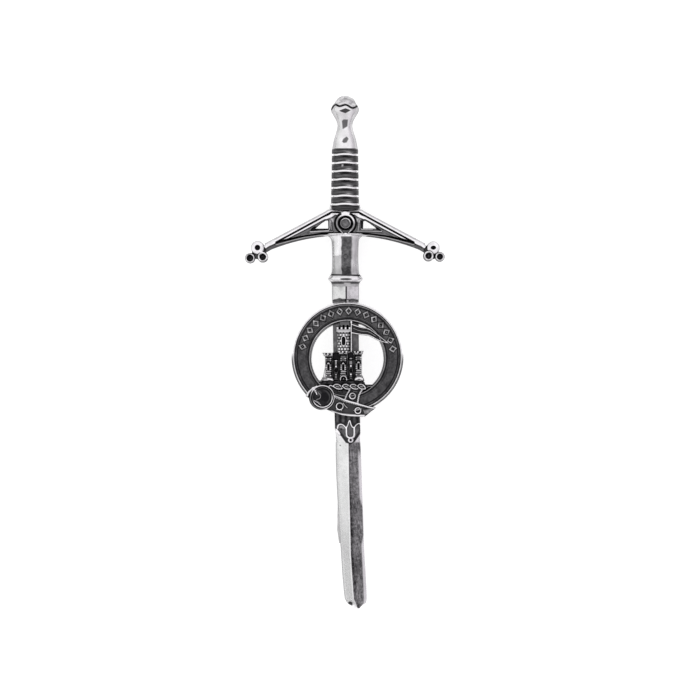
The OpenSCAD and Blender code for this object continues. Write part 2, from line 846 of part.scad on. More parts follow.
// Upright loop of the strap between the wreath and the free end
module loop() {
    bar_w = relief * 0.92;
    head_w = tail_w;
    foot_w = tail_w * 0.93;
    foot_y = -hole_r * 1.12;
    head_y = castle_foot - ledge_h * 2.3;
    x = -castle_x * 0.1;
    lean = head_w * 0.21;
    translate([0, 0, floor_t - weld])
        linear_extrude(weld + relief * 1.15) {
            stroke([[x, head_y], [x - lean, foot_y]], bar_w);
            stroke([[x + head_w, head_y], [x - lean + foot_w, foot_y]], bar_w);
        }
    eyelet(x + head_w * 0.34, (head_y + foot_y) / 2, floor_t / 2, floor_t + relief * 0.7);
}

module crest_badge() {
    color("dimgray")
        translate([badge_shift, badge_y, badge_z]) {
            strap_ring();
            lozenge_row();
            lower_ground();
            castle();
            ledge();
            wreath();
            keep();
            pennon();
            buckle();
            tail();
            loop();
            translate([drift(stud_y) - badge_shift, stud_y - badge_y,
                       stud_inset - seat_gap - seat_t])
                cylinder(d = stud_d, h = seat_gap + seat_t - stud_inset + weld);
        }
}

// Hinge block: a plate on the blade's back and two ears with the hinge pin
plate_t = 0.8;
plate_z = back_z - seat_gap - plate_t;
stem_x = drift(hinge_y);
module hinge_block() {
    ear_t = 1;
    plate_len = hinge_foot_len * 1.8;
    knuckle_d = stem_d * 1.8;
    pin_z = stem_z + stem_d * 0.21;
    translate([stem_x, hinge_y, 0]) {
        translate([-hinge_w / 2, -plate_len / 2, plate_z])
            cube([hinge_w, plate_len, plate_t]);
        for (side = [-1, 1])
            translate([side * (hinge_w / 2 - ear_t / 2) - ear_t / 2, 0, 0])
                rotate([90, 0, 90])
                    linear_extrude(ear_t)
                        polygon([
                            [-hinge_foot_len / 2, 0], [hinge_foot_len / 2, 0],
                            [plate_len * 0.444, plate_z + weld],
                            [-plate_len * 0.444, plate_z + weld]
                        ]);
        translate([-hinge_w / 2 + ear_t / 2, 0, pin_z])
            rotate([0, 90, 0])
                cylinder(d = stem_d * 0.85, h = hinge_w - ear_t);
        translate([-knuckle_d / 2, 0, pin_z])
            rotate([0, 90, 0])
                cylinder(d = knuckle_d, h = knuckle_d);
        translate([0, 0, plate_z + weld])
            cylinder(d = spigot_d, h = plate_t - weld + seat_gap + spigot_len);
    }
}

// Stem with a tapered point, from the hinge to just past the catch
stem_run = catch_span + catch_len / 2 + point_len;
stem_slant = atan(stem_lean / stem_run);
catch_stem_x = stem_x - (catch_span * tan(stem_slant));
module stem() {
    taper = point_len * 0.85;
    translate([stem_x, hinge_y, stem_z])
        rotate([90, 0, 0])
            rotate([0, -stem_slant, 0]) {
                cylinder(d = stem_d, h = stem_run - taper);
                translate([0, 0, stem_run - taper])
                    cylinder(d1 = stem_d, d2 = stem_d * 0.2, h = taper);
            }
}

// Catch: a plate on the blade's back, a web, and a hook under the stem
module catch_hook() {
    web_t = 1.2;
    lip_t = 0.3;
    grip_in = 0.1;
    left = catch_stem_x - stem_d / 2;
    right = catch_x + blade_w * 0.36;
    web_x = catch_stem_x + stem_d / 2 + grip_in;
    plate_left = web_x - web_t * 0.75;
    floor_z = foot_t + grip_in;
    lip_z = foot_t + stem_d * 0.28;
    translate([0, catch_y + catch_len / 2, 0])
        rotate([90, 0, 0])
            linear_extrude(catch_len)
                polygon([
                    [left, 0], [right, 0], [right, foot_t],
                    [web_x + web_t, foot_t + stem_d / 2], [web_x + web_t, plate_z],
                    [right, plate_z], [right, plate_z + plate_t],
                    [plate_left, plate_z + plate_t], [plate_left, plate_z],
                    [web_x, plate_z], [web_x, floor_z],
                    [left + lip_t, floor_z],
                    [left + lip_t * 0.6, lip_z], [left, lip_z]
                ]);
    translate([catch_x, catch_y, plate_z + weld])
        cylinder(d = spigot_d, h = plate_t - weld + seat_gap + spigot_len);
}

module brooch_pin() {
    color("gainsboro") {
        hinge_block();
        stem();
        catch_hook();
    }
}

sword();
crest_badge();
brooch_pin();
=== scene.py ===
"""Looks of the kilt pin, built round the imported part.

A cast pewter sword with a strap-and-buckle badge on its blade. Heights and
outlines are worked out in millimetres, and meshes are made in metres.
"""
import math

import bpy
import numpy as np
from mathutils.geometry import tessellate_polygon
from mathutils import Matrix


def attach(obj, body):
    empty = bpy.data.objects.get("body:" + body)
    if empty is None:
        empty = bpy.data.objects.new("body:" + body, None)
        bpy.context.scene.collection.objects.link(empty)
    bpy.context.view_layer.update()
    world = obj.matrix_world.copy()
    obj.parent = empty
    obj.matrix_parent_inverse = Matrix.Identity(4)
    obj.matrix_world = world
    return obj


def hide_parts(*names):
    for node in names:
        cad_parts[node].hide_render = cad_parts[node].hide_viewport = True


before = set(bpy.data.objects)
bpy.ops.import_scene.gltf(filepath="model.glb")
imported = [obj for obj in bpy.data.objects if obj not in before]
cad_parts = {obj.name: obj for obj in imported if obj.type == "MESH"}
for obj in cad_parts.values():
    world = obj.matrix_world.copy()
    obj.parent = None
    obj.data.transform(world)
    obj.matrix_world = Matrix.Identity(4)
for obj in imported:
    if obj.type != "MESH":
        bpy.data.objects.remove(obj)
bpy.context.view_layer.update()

MM = 0.001
TURN = 2 * math.pi

# Heights and places that the CAD model gives, in millimetres
BACK_Z = 6.3
SEAT_T = 1.4
BADGE_Z = 7.8
BADGE_X, BADGE_Y = 0.5, -0.9
BADGE_R, HOLE_R = 10.85, 7.55
BADGE_DRAFT = 0.35
TOP_Y, GRIP_TOP, GUARD_TOP = 51.25, 40.65, 28.45
BLADE_TOP, TIP_Y = 13.35, -51.25
TIP_SHIFT = 2.2

# Greys that clean and fully darkened metal show when turned to the light
PALE_TONE, BLACK_TONE = 245, 31

# A distance that counts as away from every mark
AWAY = 9.0


# Small maths

def ramp(x, low, high):
    """Smooth step from 0 at low to 1 at high."""
    t = np.clip((x - low) / (high - low), 0.0, 1.0)
    return t * t * (3 - 2 * t)


def mix(a, b, share):
    return a + (b - a) * share


def bell(x, middle, width, power=2):
    """Smooth bump of height 1."""
    return np.exp(-((x - middle) / width) ** power)


def dome(x, half):
    """Half circle of height 1 over -half..half."""
    return np.sqrt(np.clip(1 - (x / half) ** 2, 0, 1))


def path_distance(x, y, points):
    d = np.full(np.shape(x), 99.0)
    for a, b in zip(points, points[1:]):
        dx, dy = b[0] - a[0], b[1] - a[1]
        t = np.clip(((x - a[0]) * dx + (y - a[1]) * dy) / (dx * dx + dy * dy), 0.0, 1.0)
        d = np.minimum(d, np.hypot(x - a[0] - t * dx, y - a[1] - t * dy))
    return d


def polygon_distance(x, y, points):
    """Signed distance to a closed outline, negative inside."""
    closed = points + points[:1]
    inside = np.zeros(np.shape(x), bool)
    for a, b in zip(closed, closed[1:]):
        if a[1] != b[1]:
            crosses = (y > min(a[1], b[1])) & (y <= max(a[1], b[1]))
            inside ^= crosses & (x < a[0] + (y - a[1]) * (b[0] - a[0]) / (b[1] - a[1]))
    d = path_distance(x, y, closed)
    return np.where(inside, -d, d)


def box_distance(x, y, x0, x1, y0, y1):
    """Signed distance to an upright rectangle, negative inside."""
    dx, dy = np.maximum(x0 - x, x - x1), np.maximum(y0 - y, y - y1)
    return np.hypot(np.maximum(dx, 0), np.maximum(dy, 0)) + np.minimum(np.maximum(dx, dy), 0)


def disk_distance(x, y, cx, cy, r):
    return np.hypot(x - cx, y - cy) - r


def slope_distance(x, y, a, b):
    """Signed distance from the endless line through a and b, positive on its left."""
    dx, dy = b[0] - a[0], b[1] - a[1]
    return ((x - a[0]) * -dy + (y - a[1]) * dx) / math.hypot(dx, dy)


def curve(points, steps=6):
    """Smooth path through given points."""
    p = np.array([points[0], *points, points[-1]], float)
    out = []
    for a, b, c, d in zip(p, p[1:], p[2:], p[3:]):
        for t in np.arange(steps) / steps:
            out.append(0.5 * (2 * b + (c - a) * t + (2 * a - 5 * b + 4 * c - d) * t * t
                              + (3 * b - a - 3 * c + d) * t ** 3))
    return [tuple(q) for q in (*out, p[-1])]


def blur(a, sigma, weight=None):
    """Gaussian blur of a 2-D array, sigma in cells, along each axis."""
    w = np.ones_like(a) if weight is None else weight
    top, low = a * w, w.astype(float)
    for axis, s in enumerate((sigma, sigma) if np.isscalar(sigma) else sigma):
        if s <= 0:
            continue
        reach = max(1, int(3 * s))
        k = np.exp(-0.5 * (np.arange(-reach, reach + 1) / s) ** 2)
        k /= k.sum()
        pad = [(0, 0), (0, 0)]
        pad[axis] = (reach, reach)
        size = a.shape[axis]
        new = []
        for part in (top, low):
            wide = np.pad(part, pad, mode="edge")
            total = np.zeros_like(part)
            for i, ki in enumerate(k):
                total += ki * (wide[i:i + size] if axis == 0 else wide[:, i:i + size])
            new.append(total)
        top, low = new
    return top / np.maximum(low, 1e-6)


def soften(values, sigma):
    """Blur of a single row of values."""
    return blur(values[:, None], (sigma, 0))[:, 0]


def value_noise(x, y, size, seed):
    """Smooth noise in -1..1 with blobs of the given size."""
    table = np.random.default_rng(seed).uniform(-1, 1, (256, 256))
    u, v = x / size, y / size
    i, j = np.floor(u).astype(int), np.floor(v).astype(int)
    fu, fv = (f * f * (3 - 2 * f) for f in (u - i, v - j))
    i0, i1, j0, j1 = i % 256, (i + 1) % 256, j % 256, (j + 1) % 256
    low = mix(table[i0, j0], table[i1, j0], fu)
    return mix(low, mix(table[i0, j1], table[i1, j1], fu), fv)


def tone(grey):
    """Share of patina and painted shade that shows as a grey of 0-255 on a face turned up."""
    return (PALE_TONE - grey) / (PALE_TONE - BLACK_TONE)


def drift(y):
    """Sideways drift of the blade's middle line, as in the CAD model."""
    down = np.maximum(0.0, (GUARD_TOP - y) / (GUARD_TOP - TIP_Y))
    return TIP_SHIFT * (0.17 * down + 0.88 * down ** 3)


# Painting relief

class Relief:
    """Heights, and dark patina with painted light and shade, over a field of points, painted part by part.

    Distances are negative inside a mark. Marks take greys of 0-255, and tint
    and darken take shares of patina and painted shade.
    """

    def __init__(self, x, y, height, patina_and_painted_light):
        self.x, self.y = x, y
        self.h = np.full(np.shape(x), float(height))
        self.p = np.full(np.shape(x), float(patina_and_painted_light))

    def path(self, points):
        return path_distance(self.x, self.y, points)

    def polygon(self, points):
        return polygon_distance(self.x, self.y, points)

    def box(self, *sides):
        return box_distance(self.x, self.y, *sides)

    def disk(self, cx, cy, r):
        return disk_distance(self.x, self.y, cx, cy, r)

    def noise(self, size, seed):
        return value_noise(self.x, self.y, size, seed)

    def blend(self, other, share):
        """Takes over a share of another relief's heights and patina."""
        self.h, self.p = mix(self.h, other.h, share), mix(self.p, other.p, share)

    def copy(self):
        other = Relief(self.x, self.y, 0, 0)
        other.h, other.p = self.h.copy(), self.p.copy()
        return other

    def cover(self, share, height, patina_and_painted_light):
        self.h, self.p = mix(self.h, height, share), mix(self.p, patina_and_painted_light, share)

    def tint(self, d, patina_and_painted_light, low, high):
        self.p = mix(self.p, patina_and_painted_light, 1 - ramp(d, low, high))

    def darken(self, d, patina_and_painted_light, low, high):
        self.p = np.maximum(self.p, patina_and_painted_light * (1 - ramp(d, low, high)))

    def paint(self, d, grey, soft=0.08):
        self.tint(d, tone(grey), -soft, soft)

    def level(self, d, height, grey, soft=0.06):
        """Sets an area to one height."""
        self.h = mix(self.h, height, 1 - ramp(d, -soft, soft))
        self.paint(d, grey, soft)

    def rise(self, d, top, grey=None, bevel=0.12):
        """Raises an area to a top with rounded edges."""
        t = np.clip(1 + d / bevel, 0.0, 1.0)
        height = top - bevel * (1 - np.sqrt(1 - t * t))
        self.h = mix(self.h, np.maximum(self.h, height), 1 - ramp(d, -0.03, 0.03))
        if grey is not None:
            self.tint(d, tone(grey), -bevel * 0.4 - 0.05, 0.03)

    def sink(self, d, depth, grey, soft=0.06):
        self.h = self.h - depth * (1 - ramp(d, -soft, soft))
        self.paint(d, grey, soft)

    def line(self, points, half, top, grey):
        self.rise(self.path(points) - half, top, grey, half)

    def lines(self, top, *rows, steps=None):
        """Raised lines of one height: points, half width and grey of each."""
        for points, half, grey in rows:
            self.line(curve(points, steps) if steps else points, half, top, grey)

    def groove(self, points, half, depth, grey):
        self.sink(self.path(points) - half, depth, grey)


# Meshes

def make_object(name, verts, faces, patina_and_painted_light, material, sharp):
    """Mesh with its faces turned outwards and its patina and painted light kept on its points."""
    tris = np.array([(f[0], f[k], f[k + 1]) for f in faces for k in range(1, len(f) - 1)])
    a, b, c = (verts[tris[:, k]] for k in range(3))
    if float(np.einsum("ij,ij->i", a, np.cross(b, c)).sum()) < 0:
        faces = [f[::-1] for f in faces]
    mesh = bpy.data.meshes.new(name)
    mesh.from_pydata((verts * MM).tolist(), [], faces)
    mesh.update()
    layer = mesh.attributes.new("patina_and_painted_light", "FLOAT", "POINT")
    layer.data.foreach_set("value", np.asarray(np.clip(patina_and_painted_light, 0, 1), np.float32))
    mesh.shade_smooth()
    mesh.set_sharp_from_angle(angle=math.radians(sharp))
    mesh.materials.append(material)
    obj = bpy.data.objects.new(name, mesh)
    bpy.context.scene.collection.objects.link(obj)
    return obj


def trim(x, y, h, p, s, outline, tiny):
    """Front of a sheet: a grid's triangles, cut where its side s passes zero."""
    index = np.arange(s.size).reshape(s.shape)
    a, b = index[:-1, :-1].ravel(), index[:-1, 1:].ravel()
    c, d = index[1:, 1:].ravel(), index[1:, :-1].ravel()
    flat = h.ravel()
    diagonal = (np.abs(flat[a] - flat[c]) <= np.abs(flat[b] - flat[d]))[:, None]
    tris = np.concatenate([
        np.where(diagonal, np.stack([a, b, c], 1), np.stack([a, b, d], 1)),
        np.where(diagonal, np.stack([a, c, d], 1), np.stack([b, c, d], 1))])
    base, side = np.stack([v.ravel() for v in (x, y, h, p)], 1), s.ravel()
    ts = side[tris]
    whole = (ts <= 0).all(1)
    on = whole & (ts == 0).all(1)
    middle = base[tris[on], :2].mean(1)
    whole[np.flatnonzero(on)[outline(middle[:, 0], middle[:, 1]) > -tiny]] = False
    made, extra, faces = {}, [], []

    def cut(i, j):
        """Point where the outline crosses the edge between two grid points."""
        i, j = min(i, j), max(i, j)
        if (i, j) not in made:
            made[i, j] = len(base) + len(extra)
            extra.append(mix(base[i], base[j], side[i] / (side[i] - side[j])))
            extra[-1][2:] = base[i if side[i] < 0 else j][2:]
        return made[i, j]

    for tri in tris[(ts > 0).any(1) & (ts < 0).any(1)].tolist():
        ring = []
        for i, j in zip(tri, tri[1:] + tri[:1]):
            if side[i] <= 0:
                ring.append(i)
            if side[i] * side[j] < 0:
                ring.append(cut(i, j))
        faces += [(ring[0], ring[k], ring[k + 1]) for k in range(1, len(ring) - 1)]
    points = np.concatenate([base, np.array(extra).reshape(-1, 4)])
    faces = np.concatenate([tris[whole], np.array(faces, int).reshape(-1, 3)])
    (ax, ay), (bx, by), (cx, cy) = (points[faces[:, k], :2].T for k in range(3))
    faces = faces[(bx - ax) * (cy - ay) - (by - ay) * (cx - ax) > 1e-9]
    used, faces = np.unique(faces, return_inverse=True)
    return points[used], faces.reshape(-1, 3)


def rim_loops(faces, count):
    """Closed loops of the edges that only one face has."""
    edges = np.concatenate([faces[:, [0, 1]], faces[:, [1, 2]], faces[:, [2, 0]]])
    lone = ~np.isin(edges[:, 0] * count + edges[:, 1], edges[:, 1] * count + edges[:, 0])
    follow = {}
    for i, j in edges[lone].tolist():
        follow.setdefault(i, []).append(j)
    loops = []
    while follow:
        at = start = next(iter(follow))
        loop = []
        while at != start or not loop:
            loop.append(at)
            after = follow[at].pop()
            if not follow[at]:
                del follow[at]
            at = after
        loops.append(loop)
    return loops


def close_back(points, faces, back_z, chamfer=0.12, thinnest=0.1):
    """Adds upright walls, a chamfer and a flat back to a sheet's front."""
    top = back_z + np.maximum(points[:, 2], thinnest)
    verts, patina_and_painted_light = [np.column_stack([points[:, :2], top])], [points[:, 3]]
    out, caps, count = [tuple(f) for f in faces.tolist()], [], len(points)
    for loop in rim_loops(faces, count):
        ring, high, n = points[loop], top[loop], len(loop)
        step = np.roll(ring[:, :2], -1, axis=0) - np.roll(ring[:, :2], 1, axis=0)
        long = np.maximum(np.hypot(step[:, 0], step[:, 1]), 1e-6)
        inward = np.column_stack([-step[:, 1] / long, step[:, 0] / long])
        rows = [loop]
        for inset, z in ((0, back_z + (high - back_z) * 0.55), (0, back_z + chamfer), (chamfer, back_z)):
            verts.append(np.column_stack([ring[:, :2] + inward * inset, np.minimum(z, high)]))
            patina_and_painted_light.append(ring[:, 3] * 0.4 + 0.4)
            rows.append(list(range(count, count + n)))
            count += n
        for up, low in zip(rows, rows[1:]):
            out += [(up[k], low[k], low[(k + 1) % n], up[(k + 1) % n]) for k in range(n)]
        caps.append(rows[-1])
    verts = np.concatenate(verts)
    flat = [i for cap in caps for i in cap]
    for tri in tessellate_polygon([[tuple(verts[i]) for i in cap] for cap in caps]):
        i, j, k = (flat[t] for t in tri)
        u, v = verts[j] - verts[i], verts[k] - verts[i]
        out.append((i, j, k) if u[0] * v[1] - u[1] * v[0] < 0 else (i, k, j))
    return verts, out, np.concatenate(patina_and_painted_light)


def sheet(name, outline, relief, area, cell, back_z, material, edge, cavity, spread, rim_shade_grey, rim_shade_width):
    """Solid with a sculpted front, upright walls and a flat back.

    outline(x, y) is negative inside. relief(x, y) gives heights above the
    back, and patina with painted light and shade. The grid's border points are moved onto the outline.
    """
    x0, x1, y0, y1 = area
    x, y = np.meshgrid(*(a + np.arange(int((b - a) / cell) + 1) * cell for a, b in ((x0, x1), (y0, y1))))
    s, tiny = outline(x, y), cell * 0.05
    gx, gy = (outline(x + tiny, y) - s) / tiny, (outline(x, y + tiny) - s) / tiny
    steep = np.maximum(np.hypot(gx, gy), 0.3) ** 2
    near = np.abs(s) < cell * 0.42
    x, y = np.where(near, x - s * gx / steep, x), np.where(near, y - s * gy / steep, y)
    s = np.where(near, 0.0, s)
    h, p = relief(x, y)
    deep = np.clip(1 + s / edge, 0.0, 1.0)
    h = h - edge * (1 - np.sqrt(1 - deep * deep))
    inside = (s <= 0).astype(float)
    h = blur(h, 0.65, inside)
    hollow = blur(h, spread / cell, inside) - h
    p = p + cavity * np.where(hollow > 0, hollow, hollow * 0.8)
    # painted shade: a grey band along the rounded edge of the outline
    p = np.clip(np.maximum(p, tone(rim_shade_grey) * (1 - ramp(-s, 0.0, rim_shade_width))), 0.0, 1.0)
    points, faces = trim(x, y, h, p, s, outline, tiny)
    return make_object(name, *close_back(points, faces, back_z), material, 75)


def resample(rings, count):
    """Spreads points evenly round each ring, more on the front than behind."""
    out = np.empty((len(rings), count, 3))
    share = np.arange(count) / count
    share = share + 0.055 * np.sin(TURN * share)
    for i, ring in enumerate(rings):
        closed = np.vstack([ring, ring[:1]])
        run = np.concatenate([[0], np.cumsum(np.linalg.norm(np.diff(closed, axis=0), axis=1))])
        out[i] = np.stack([np.interp(share * run[-1], run, closed[:, k]) for k in range(3)], 1)
    return out


def normals(rings):
    around = np.roll(rings, -1, axis=1) - np.roll(rings, 1, axis=1)
    n = np.cross(around, np.gradient(rings, axis=0))
    return n / np.maximum(np.linalg.norm(n, axis=2, keepdims=True), 1e-9)


def skin(name, rings, patina_and_painted_light, material, sharp):
    """Closed tube through rings, with its ends shut."""
    rows, count = rings.shape[:2]
    k = np.arange(count)
    m = (k + 1) % count
    faces = []
    for a in range(0, (rows - 1) * count, count):
        faces += np.stack([a + k, a + count + k, a + count + m, a + m], 1).tolist()
    n, last, ends = rows * count, (rows - 1) * count, list(zip(k.tolist(), m.tolist()))
    faces += [(n, i, j) for i, j in ends] + [(n + 1, last + j, last + i) for i, j in ends]
    verts = np.vstack([rings.reshape(-1, 3), rings[0].mean(0), rings[-1].mean(0)])
    patina_and_painted_light = np.concatenate([patina_and_painted_light.ravel(), [patina_and_painted_light[0].mean(), patina_and_painted_light[-1].mean()]])
    return make_object(name, verts, faces, patina_and_painted_light, material, sharp)


# Materials

class Nodes:
    """Adds nodes to a tree. Each input takes a value, or a socket to link to."""

    def __init__(self, tree):
        self.tree = tree

    def feed(self, socket, value):
        if isinstance(value, bpy.types.NodeSocket):
            self.tree.links.new(value, socket)
        else:
            socket.default_value = value

    def add(self, kind, inputs=(), output=0, **settings):
        n = self.tree.nodes.new("ShaderNode" + kind)
        for key, value in settings.items():
            setattr(n, key, value)
        for key, value in dict(inputs).items():
            self.feed(n.inputs[key], value)
        return n.outputs[output]

    def math(self, operation, *values, clamp=False):
        return self.add("Math", enumerate(values), operation=operation, use_clamp=clamp)

    def noise(self, coords, size, detail, rough=0.55):
        """Noise with blobs of about the given size in millimetres."""
        inputs = {"Scale": 1 / (size * MM), "Detail": detail, "Roughness": rough, "Vector": coords}
        return self.add("TexNoise", inputs, "Fac")

    def ranged(self, value, low, high, to_low, to_high, smooth=False):
        keys = ("Value", "From Min", "From Max", "To Min", "To Max")
        return self.add("MapRange", zip(keys, (value, low, high, to_low, to_high)), "Result",
                        interpolation_type="SMOOTHSTEP" if smooth else "LINEAR")

    def colour(self, share, a, b):
        a, b = ((*c, 1.0) if isinstance(c, tuple) else c for c in (a, b))
        return self.add("Mix", {"Factor": share, "A": a, "B": b}, "Result", data_type="RGBA")


def metal(name, paint):
    """Metal whose colour, roughness and bumps paint(nodes, coords) gives."""
    mat = bpy.data.materials.new(name)
    mat.use_nodes = True
    nodes = Nodes(mat.node_tree)
    colour, rough, height, strength, distance = paint(nodes, nodes.add("TexCoord", (), "Object"))
    bump = nodes.add("Bump", {"Strength": strength, "Distance": distance * MM, "Height": height}, "Normal")
    bsdf = mat.node_tree.nodes["Principled BSDF"]
    for key, value in (("Base Color", colour), ("Roughness", rough), ("Metallic", 1.0), ("Normal", bump)):
        nodes.feed(bsdf.inputs[key], value)
    return mat


BRIGHT, DARK = (0.916, 0.914, 0.922), (0.0142, 0.0138, 0.0154)
# share of each channel where the bright metal is tinted most
TINT = (1.0, 0.978, 0.994)
GAMMA = 2.2


def pewter(rough_bright, rough_dark, grain, bump):
    """Cast pewter: bright where it is worn, near black where patina stays and where shade is painted.

    Equal steps of patina and painted shade look like equal steps of grey.
    """
    def paint(n, coords):
        patina_and_painted_light = n.add("Attribute", (), "Fac", attribute_name="patina_and_painted_light")
        fine, broad, tint = (n.noise(coords, *s) for s in ((0.2, 4), (1.1, 3), (3.5, 2)))
        p, q = (n.math("MULTIPLY_ADD", s, grain, -0.5 * grain) for s in (fine, broad))
        p = n.math("ADD", n.math("ADD", p, q), patina_and_painted_light, clamp=True)
        low = (DARK[1] / BRIGHT[1]) ** (1 / GAMMA)
        shade = n.math("POWER", n.math("MULTIPLY_ADD", p, low - 1, 1.0), GAMMA)
        share = n.ranged(shade, 1.0, low ** GAMMA, 0.0, 1.0)
        tinted = n.colour(tint, BRIGHT, tuple(c * f for c, f in zip(BRIGHT, TINT)))
        colour = n.colour(share, tinted, DARK)
        rough = n.ranged(p, 0.0, 1.0, rough_bright, rough_dark)
        rough = n.math("ADD", rough, n.ranged(broad, 0.3, 0.7, -0.05, 0.05))
        cast = n.noise(coords, 0.12, 3, 0.6)
        cells = {"Scale": 1 / (0.45 * MM), "Randomness": 1.0, "Vector": coords}
        pits = n.add("TexVoronoi", cells, "Distance")
        pit = n.ranged(pits, 0.0, 0.22, -0.5, 0.0, smooth=True)
        return colour, rough, n.math("ADD", cast, pit), bump, 0.03
    return paint


def plated(n, coords):
    """Drawn and stamped steel with a thin bright plating."""
    drawn = n.add("Mapping", {"Scale": (1, 0.06, 1), "Vector": coords}, "Vector")
    highlight_streak, broad = n.noise(drawn, 0.25, 3, 0.6), n.noise(coords, 1.8, 3)
    worn = n.ranged(broad, 0.45, 0.75, 0.0, 1.0, smooth=True)
    colour = n.colour(worn, (0.60, 0.59, 0.60), (0.38, 0.37, 0.38))
    return colour, n.ranged(highlight_streak, 0.3, 0.7, 0.24, 0.42), highlight_streak, 0.25, 0.01


sword_pewter = metal("sword_pewter", pewter(0.26, 0.44, 0.12, 0.5))
badge_pewter = metal("badge_pewter", pewter(0.30, 0.46, 0.10, 0.45))
steel = metal("plated_steel", plated)


# Stage

LENS, SENSOR = 150, 36
# width of the view, and height of the plane where it is measured, in metres
FIELD, PLANE = 0.140, 0.008
BACKGROUND = 0.93
# direction, inner and outer angle, and strength of each patch of the tent
LOBES = [
    ((0.0, 0.0, 1.0), 8, 40, 0.28), ((-0.80, 0.10, 0.45), 18, 55, 0.12), ((0.05, 0.80, 0.55), 10, 46, 0.08),
    ((0.80, 0.05, 0.60), 8, 36, -0.28), ((0.95, 0.00, 0.16), 8, 26, 0.30)
]


def place_camera():
    camera = bpy.data.cameras.new("camera")
    camera.lens, camera.sensor_width, camera.clip_start = LENS, SENSOR, 0.01
    obj = bpy.data.objects.new("camera", camera)
    obj.location = (0.001, 0.0005, PLANE + FIELD * LENS / SENSOR)
    bpy.context.scene.collection.objects.link(obj)
    bpy.context.scene.camera = obj


def light_tent():
    """A pale tent, bright overhead and dim near the horizon, dimmer on the right."""
    world = bpy.data.worlds.new("studio")
    world.use_nodes = True
    bpy.context.scene.world = world
    n = Nodes(world.node_tree)
    back = world.node_tree.nodes["Background"]
    way = n.add("TexCoord", (), "Generated")
    up = n.add("SeparateXYZ", {0: way}, "Z")
    total = n.ranged(up, 0.02, 0.44, 0.20, 0.86, smooth=True)
    for to, inner, outer, strength in LOBES:
        length = math.sqrt(sum(c * c for c in to))
        near = n.add("VectorMath", {1: [c / length for c in to], 0: way}, "Value", operation="DOT_PRODUCT")
        outer, inner = math.cos(math.radians(outer)), math.cos(math.radians(inner))
        total = n.math("ADD", total, n.ranged(near, outer, inner, 0.0, strength, smooth=True))
    seen = n.add("LightPath", (), "Is Camera Ray")
    n.feed(back.inputs["Strength"], n.add("Mix", {0: seen, 2: total, 3: BACKGROUND}, data_type="FLOAT"))
    side = n.ranged(up.node.outputs["X"], -0.7, 0.7, 0.0, 1.0)
    n.feed(back.inputs["Color"], n.colour(side, (0.985, 1.0, 0.985), (1.0, 0.965, 1.01)))


def lay_floor(half=3.0):
    mesh = bpy.data.meshes.new("floor")
    corners = [(-half, -half, 0), (half, -half, 0), (half, half, 0), (-half, half, 0)]
    mesh.from_pydata(corners, [], [(0, 1, 2, 3)])
    floor = bpy.data.objects.new("floor", mesh)
    bpy.context.scene.collection.objects.link(floor)
    mat = bpy.data.materials.new("pale_floor")
    mat.use_nodes = True
    for key, value in (("Base Color", (0.55, 0.55, 0.55, 1)), ("Roughness", 0.9), ("Specular IOR Level", 0.1),
                       ("Emission Color", (1, 1, 1, 1)), ("Emission Strength", 0.70)):
        mat.node_tree.nodes["Principled BSDF"].inputs[key].default_value = value
    mesh.materials.append(mat)


place_camera()
light_tent()
lay_floor()
view = bpy.context.scene.view_settings
view.view_transform, view.look = "Standard", "None"
view.exposure, view.gamma = 0.0, 1.0


# Pommel and grip

# share of the way down, of half width and of depth
POMMEL = [
    (0.00, 0.26, 0.34), (0.05, 0.56, 0.60), (0.12, 0.74, 0.78), (0.19, 0.90, 0.93), (0.25, 1.00, 1.00),
    (0.31, 0.93, 0.97), (0.38, 0.77, 0.84), (0.46, 0.60, 0.70), (0.54, 0.51, 0.62), (0.62, 0.54, 0.62),
    (0.72, 0.66, 0.67), (0.84, 0.79, 0.73), (0.96, 0.87, 0.78), (1.00, 0.89, 0.79)
]
POMMEL_LEN, POMMEL_W, POMMEL_T = 10.6, 5.6, 4.4
GRIP_W, GRIP_T = 5.8, 3.6
RIB_TOP, RIB_PITCH, RIB_COUNT, RIB_RISE, RIB_HALF = 39.44, 1.652, 7, 0.24, 0.28

WAVE = curve([(-2.85, 48.45), (-2.0, 49.44), (-1.08, 49.1), (0.2, 49.4), (1.55, 48.72), (2.5, 49.25)])
DIAMOND = [(-1.1, 48.1), (0.1, 48.62), (1.08, 48.2), (0.1, 47.6)]
DARK_DENT_HIGH = [(-0.62, 46.14), (-0.3, 46.44), (0.6, 46.4), (0.5, 45.14), (-0.46, 44.56), (-0.54, 45.46)]
DARK_DENT_LOW = [(0.38, 43.08), (0.72, 42.62), (0.3, 41.88), (-0.24, 41.78), (-0.58, 42.04), (-0.3, 42.62)]


def hilt_rings(y, x, w, t, z, face, crisp):
    """Ten-cornered sections with softened corners, one ring for each y."""
    back = 0.62 * w
    corners = [
        (-back, 0 * w), (back, 0 * w), (w, 0.26 * t), (w, 0.66 * t), (0.8 * w, 0.9 * t), (face * w, t),
        (-face * w, t), (-0.8 * w, 0.9 * t), (-w, 0.66 * t), (-w, 0.26 * t)
    ]
    rings = np.stack([np.stack([x + cx, y, BACK_Z + z + cz], 1) for cx, cz in corners[1:] + corners[:1]], 1)
    for cut in (crisp, 0.25, 0.25):
        after = np.roll(rings, -1, axis=1)
        rings = np.stack([mix(rings, after, cut), mix(after, rings, cut)], 2).reshape(len(y), -1, 3)
    # the ring starts at the middle of its back
    start = rings[:, :1].copy()
    start[:, 0, 0], start[:, 0, 2] = x, BACK_Z + z
    return resample(np.concatenate([start, rings], 1), 112)


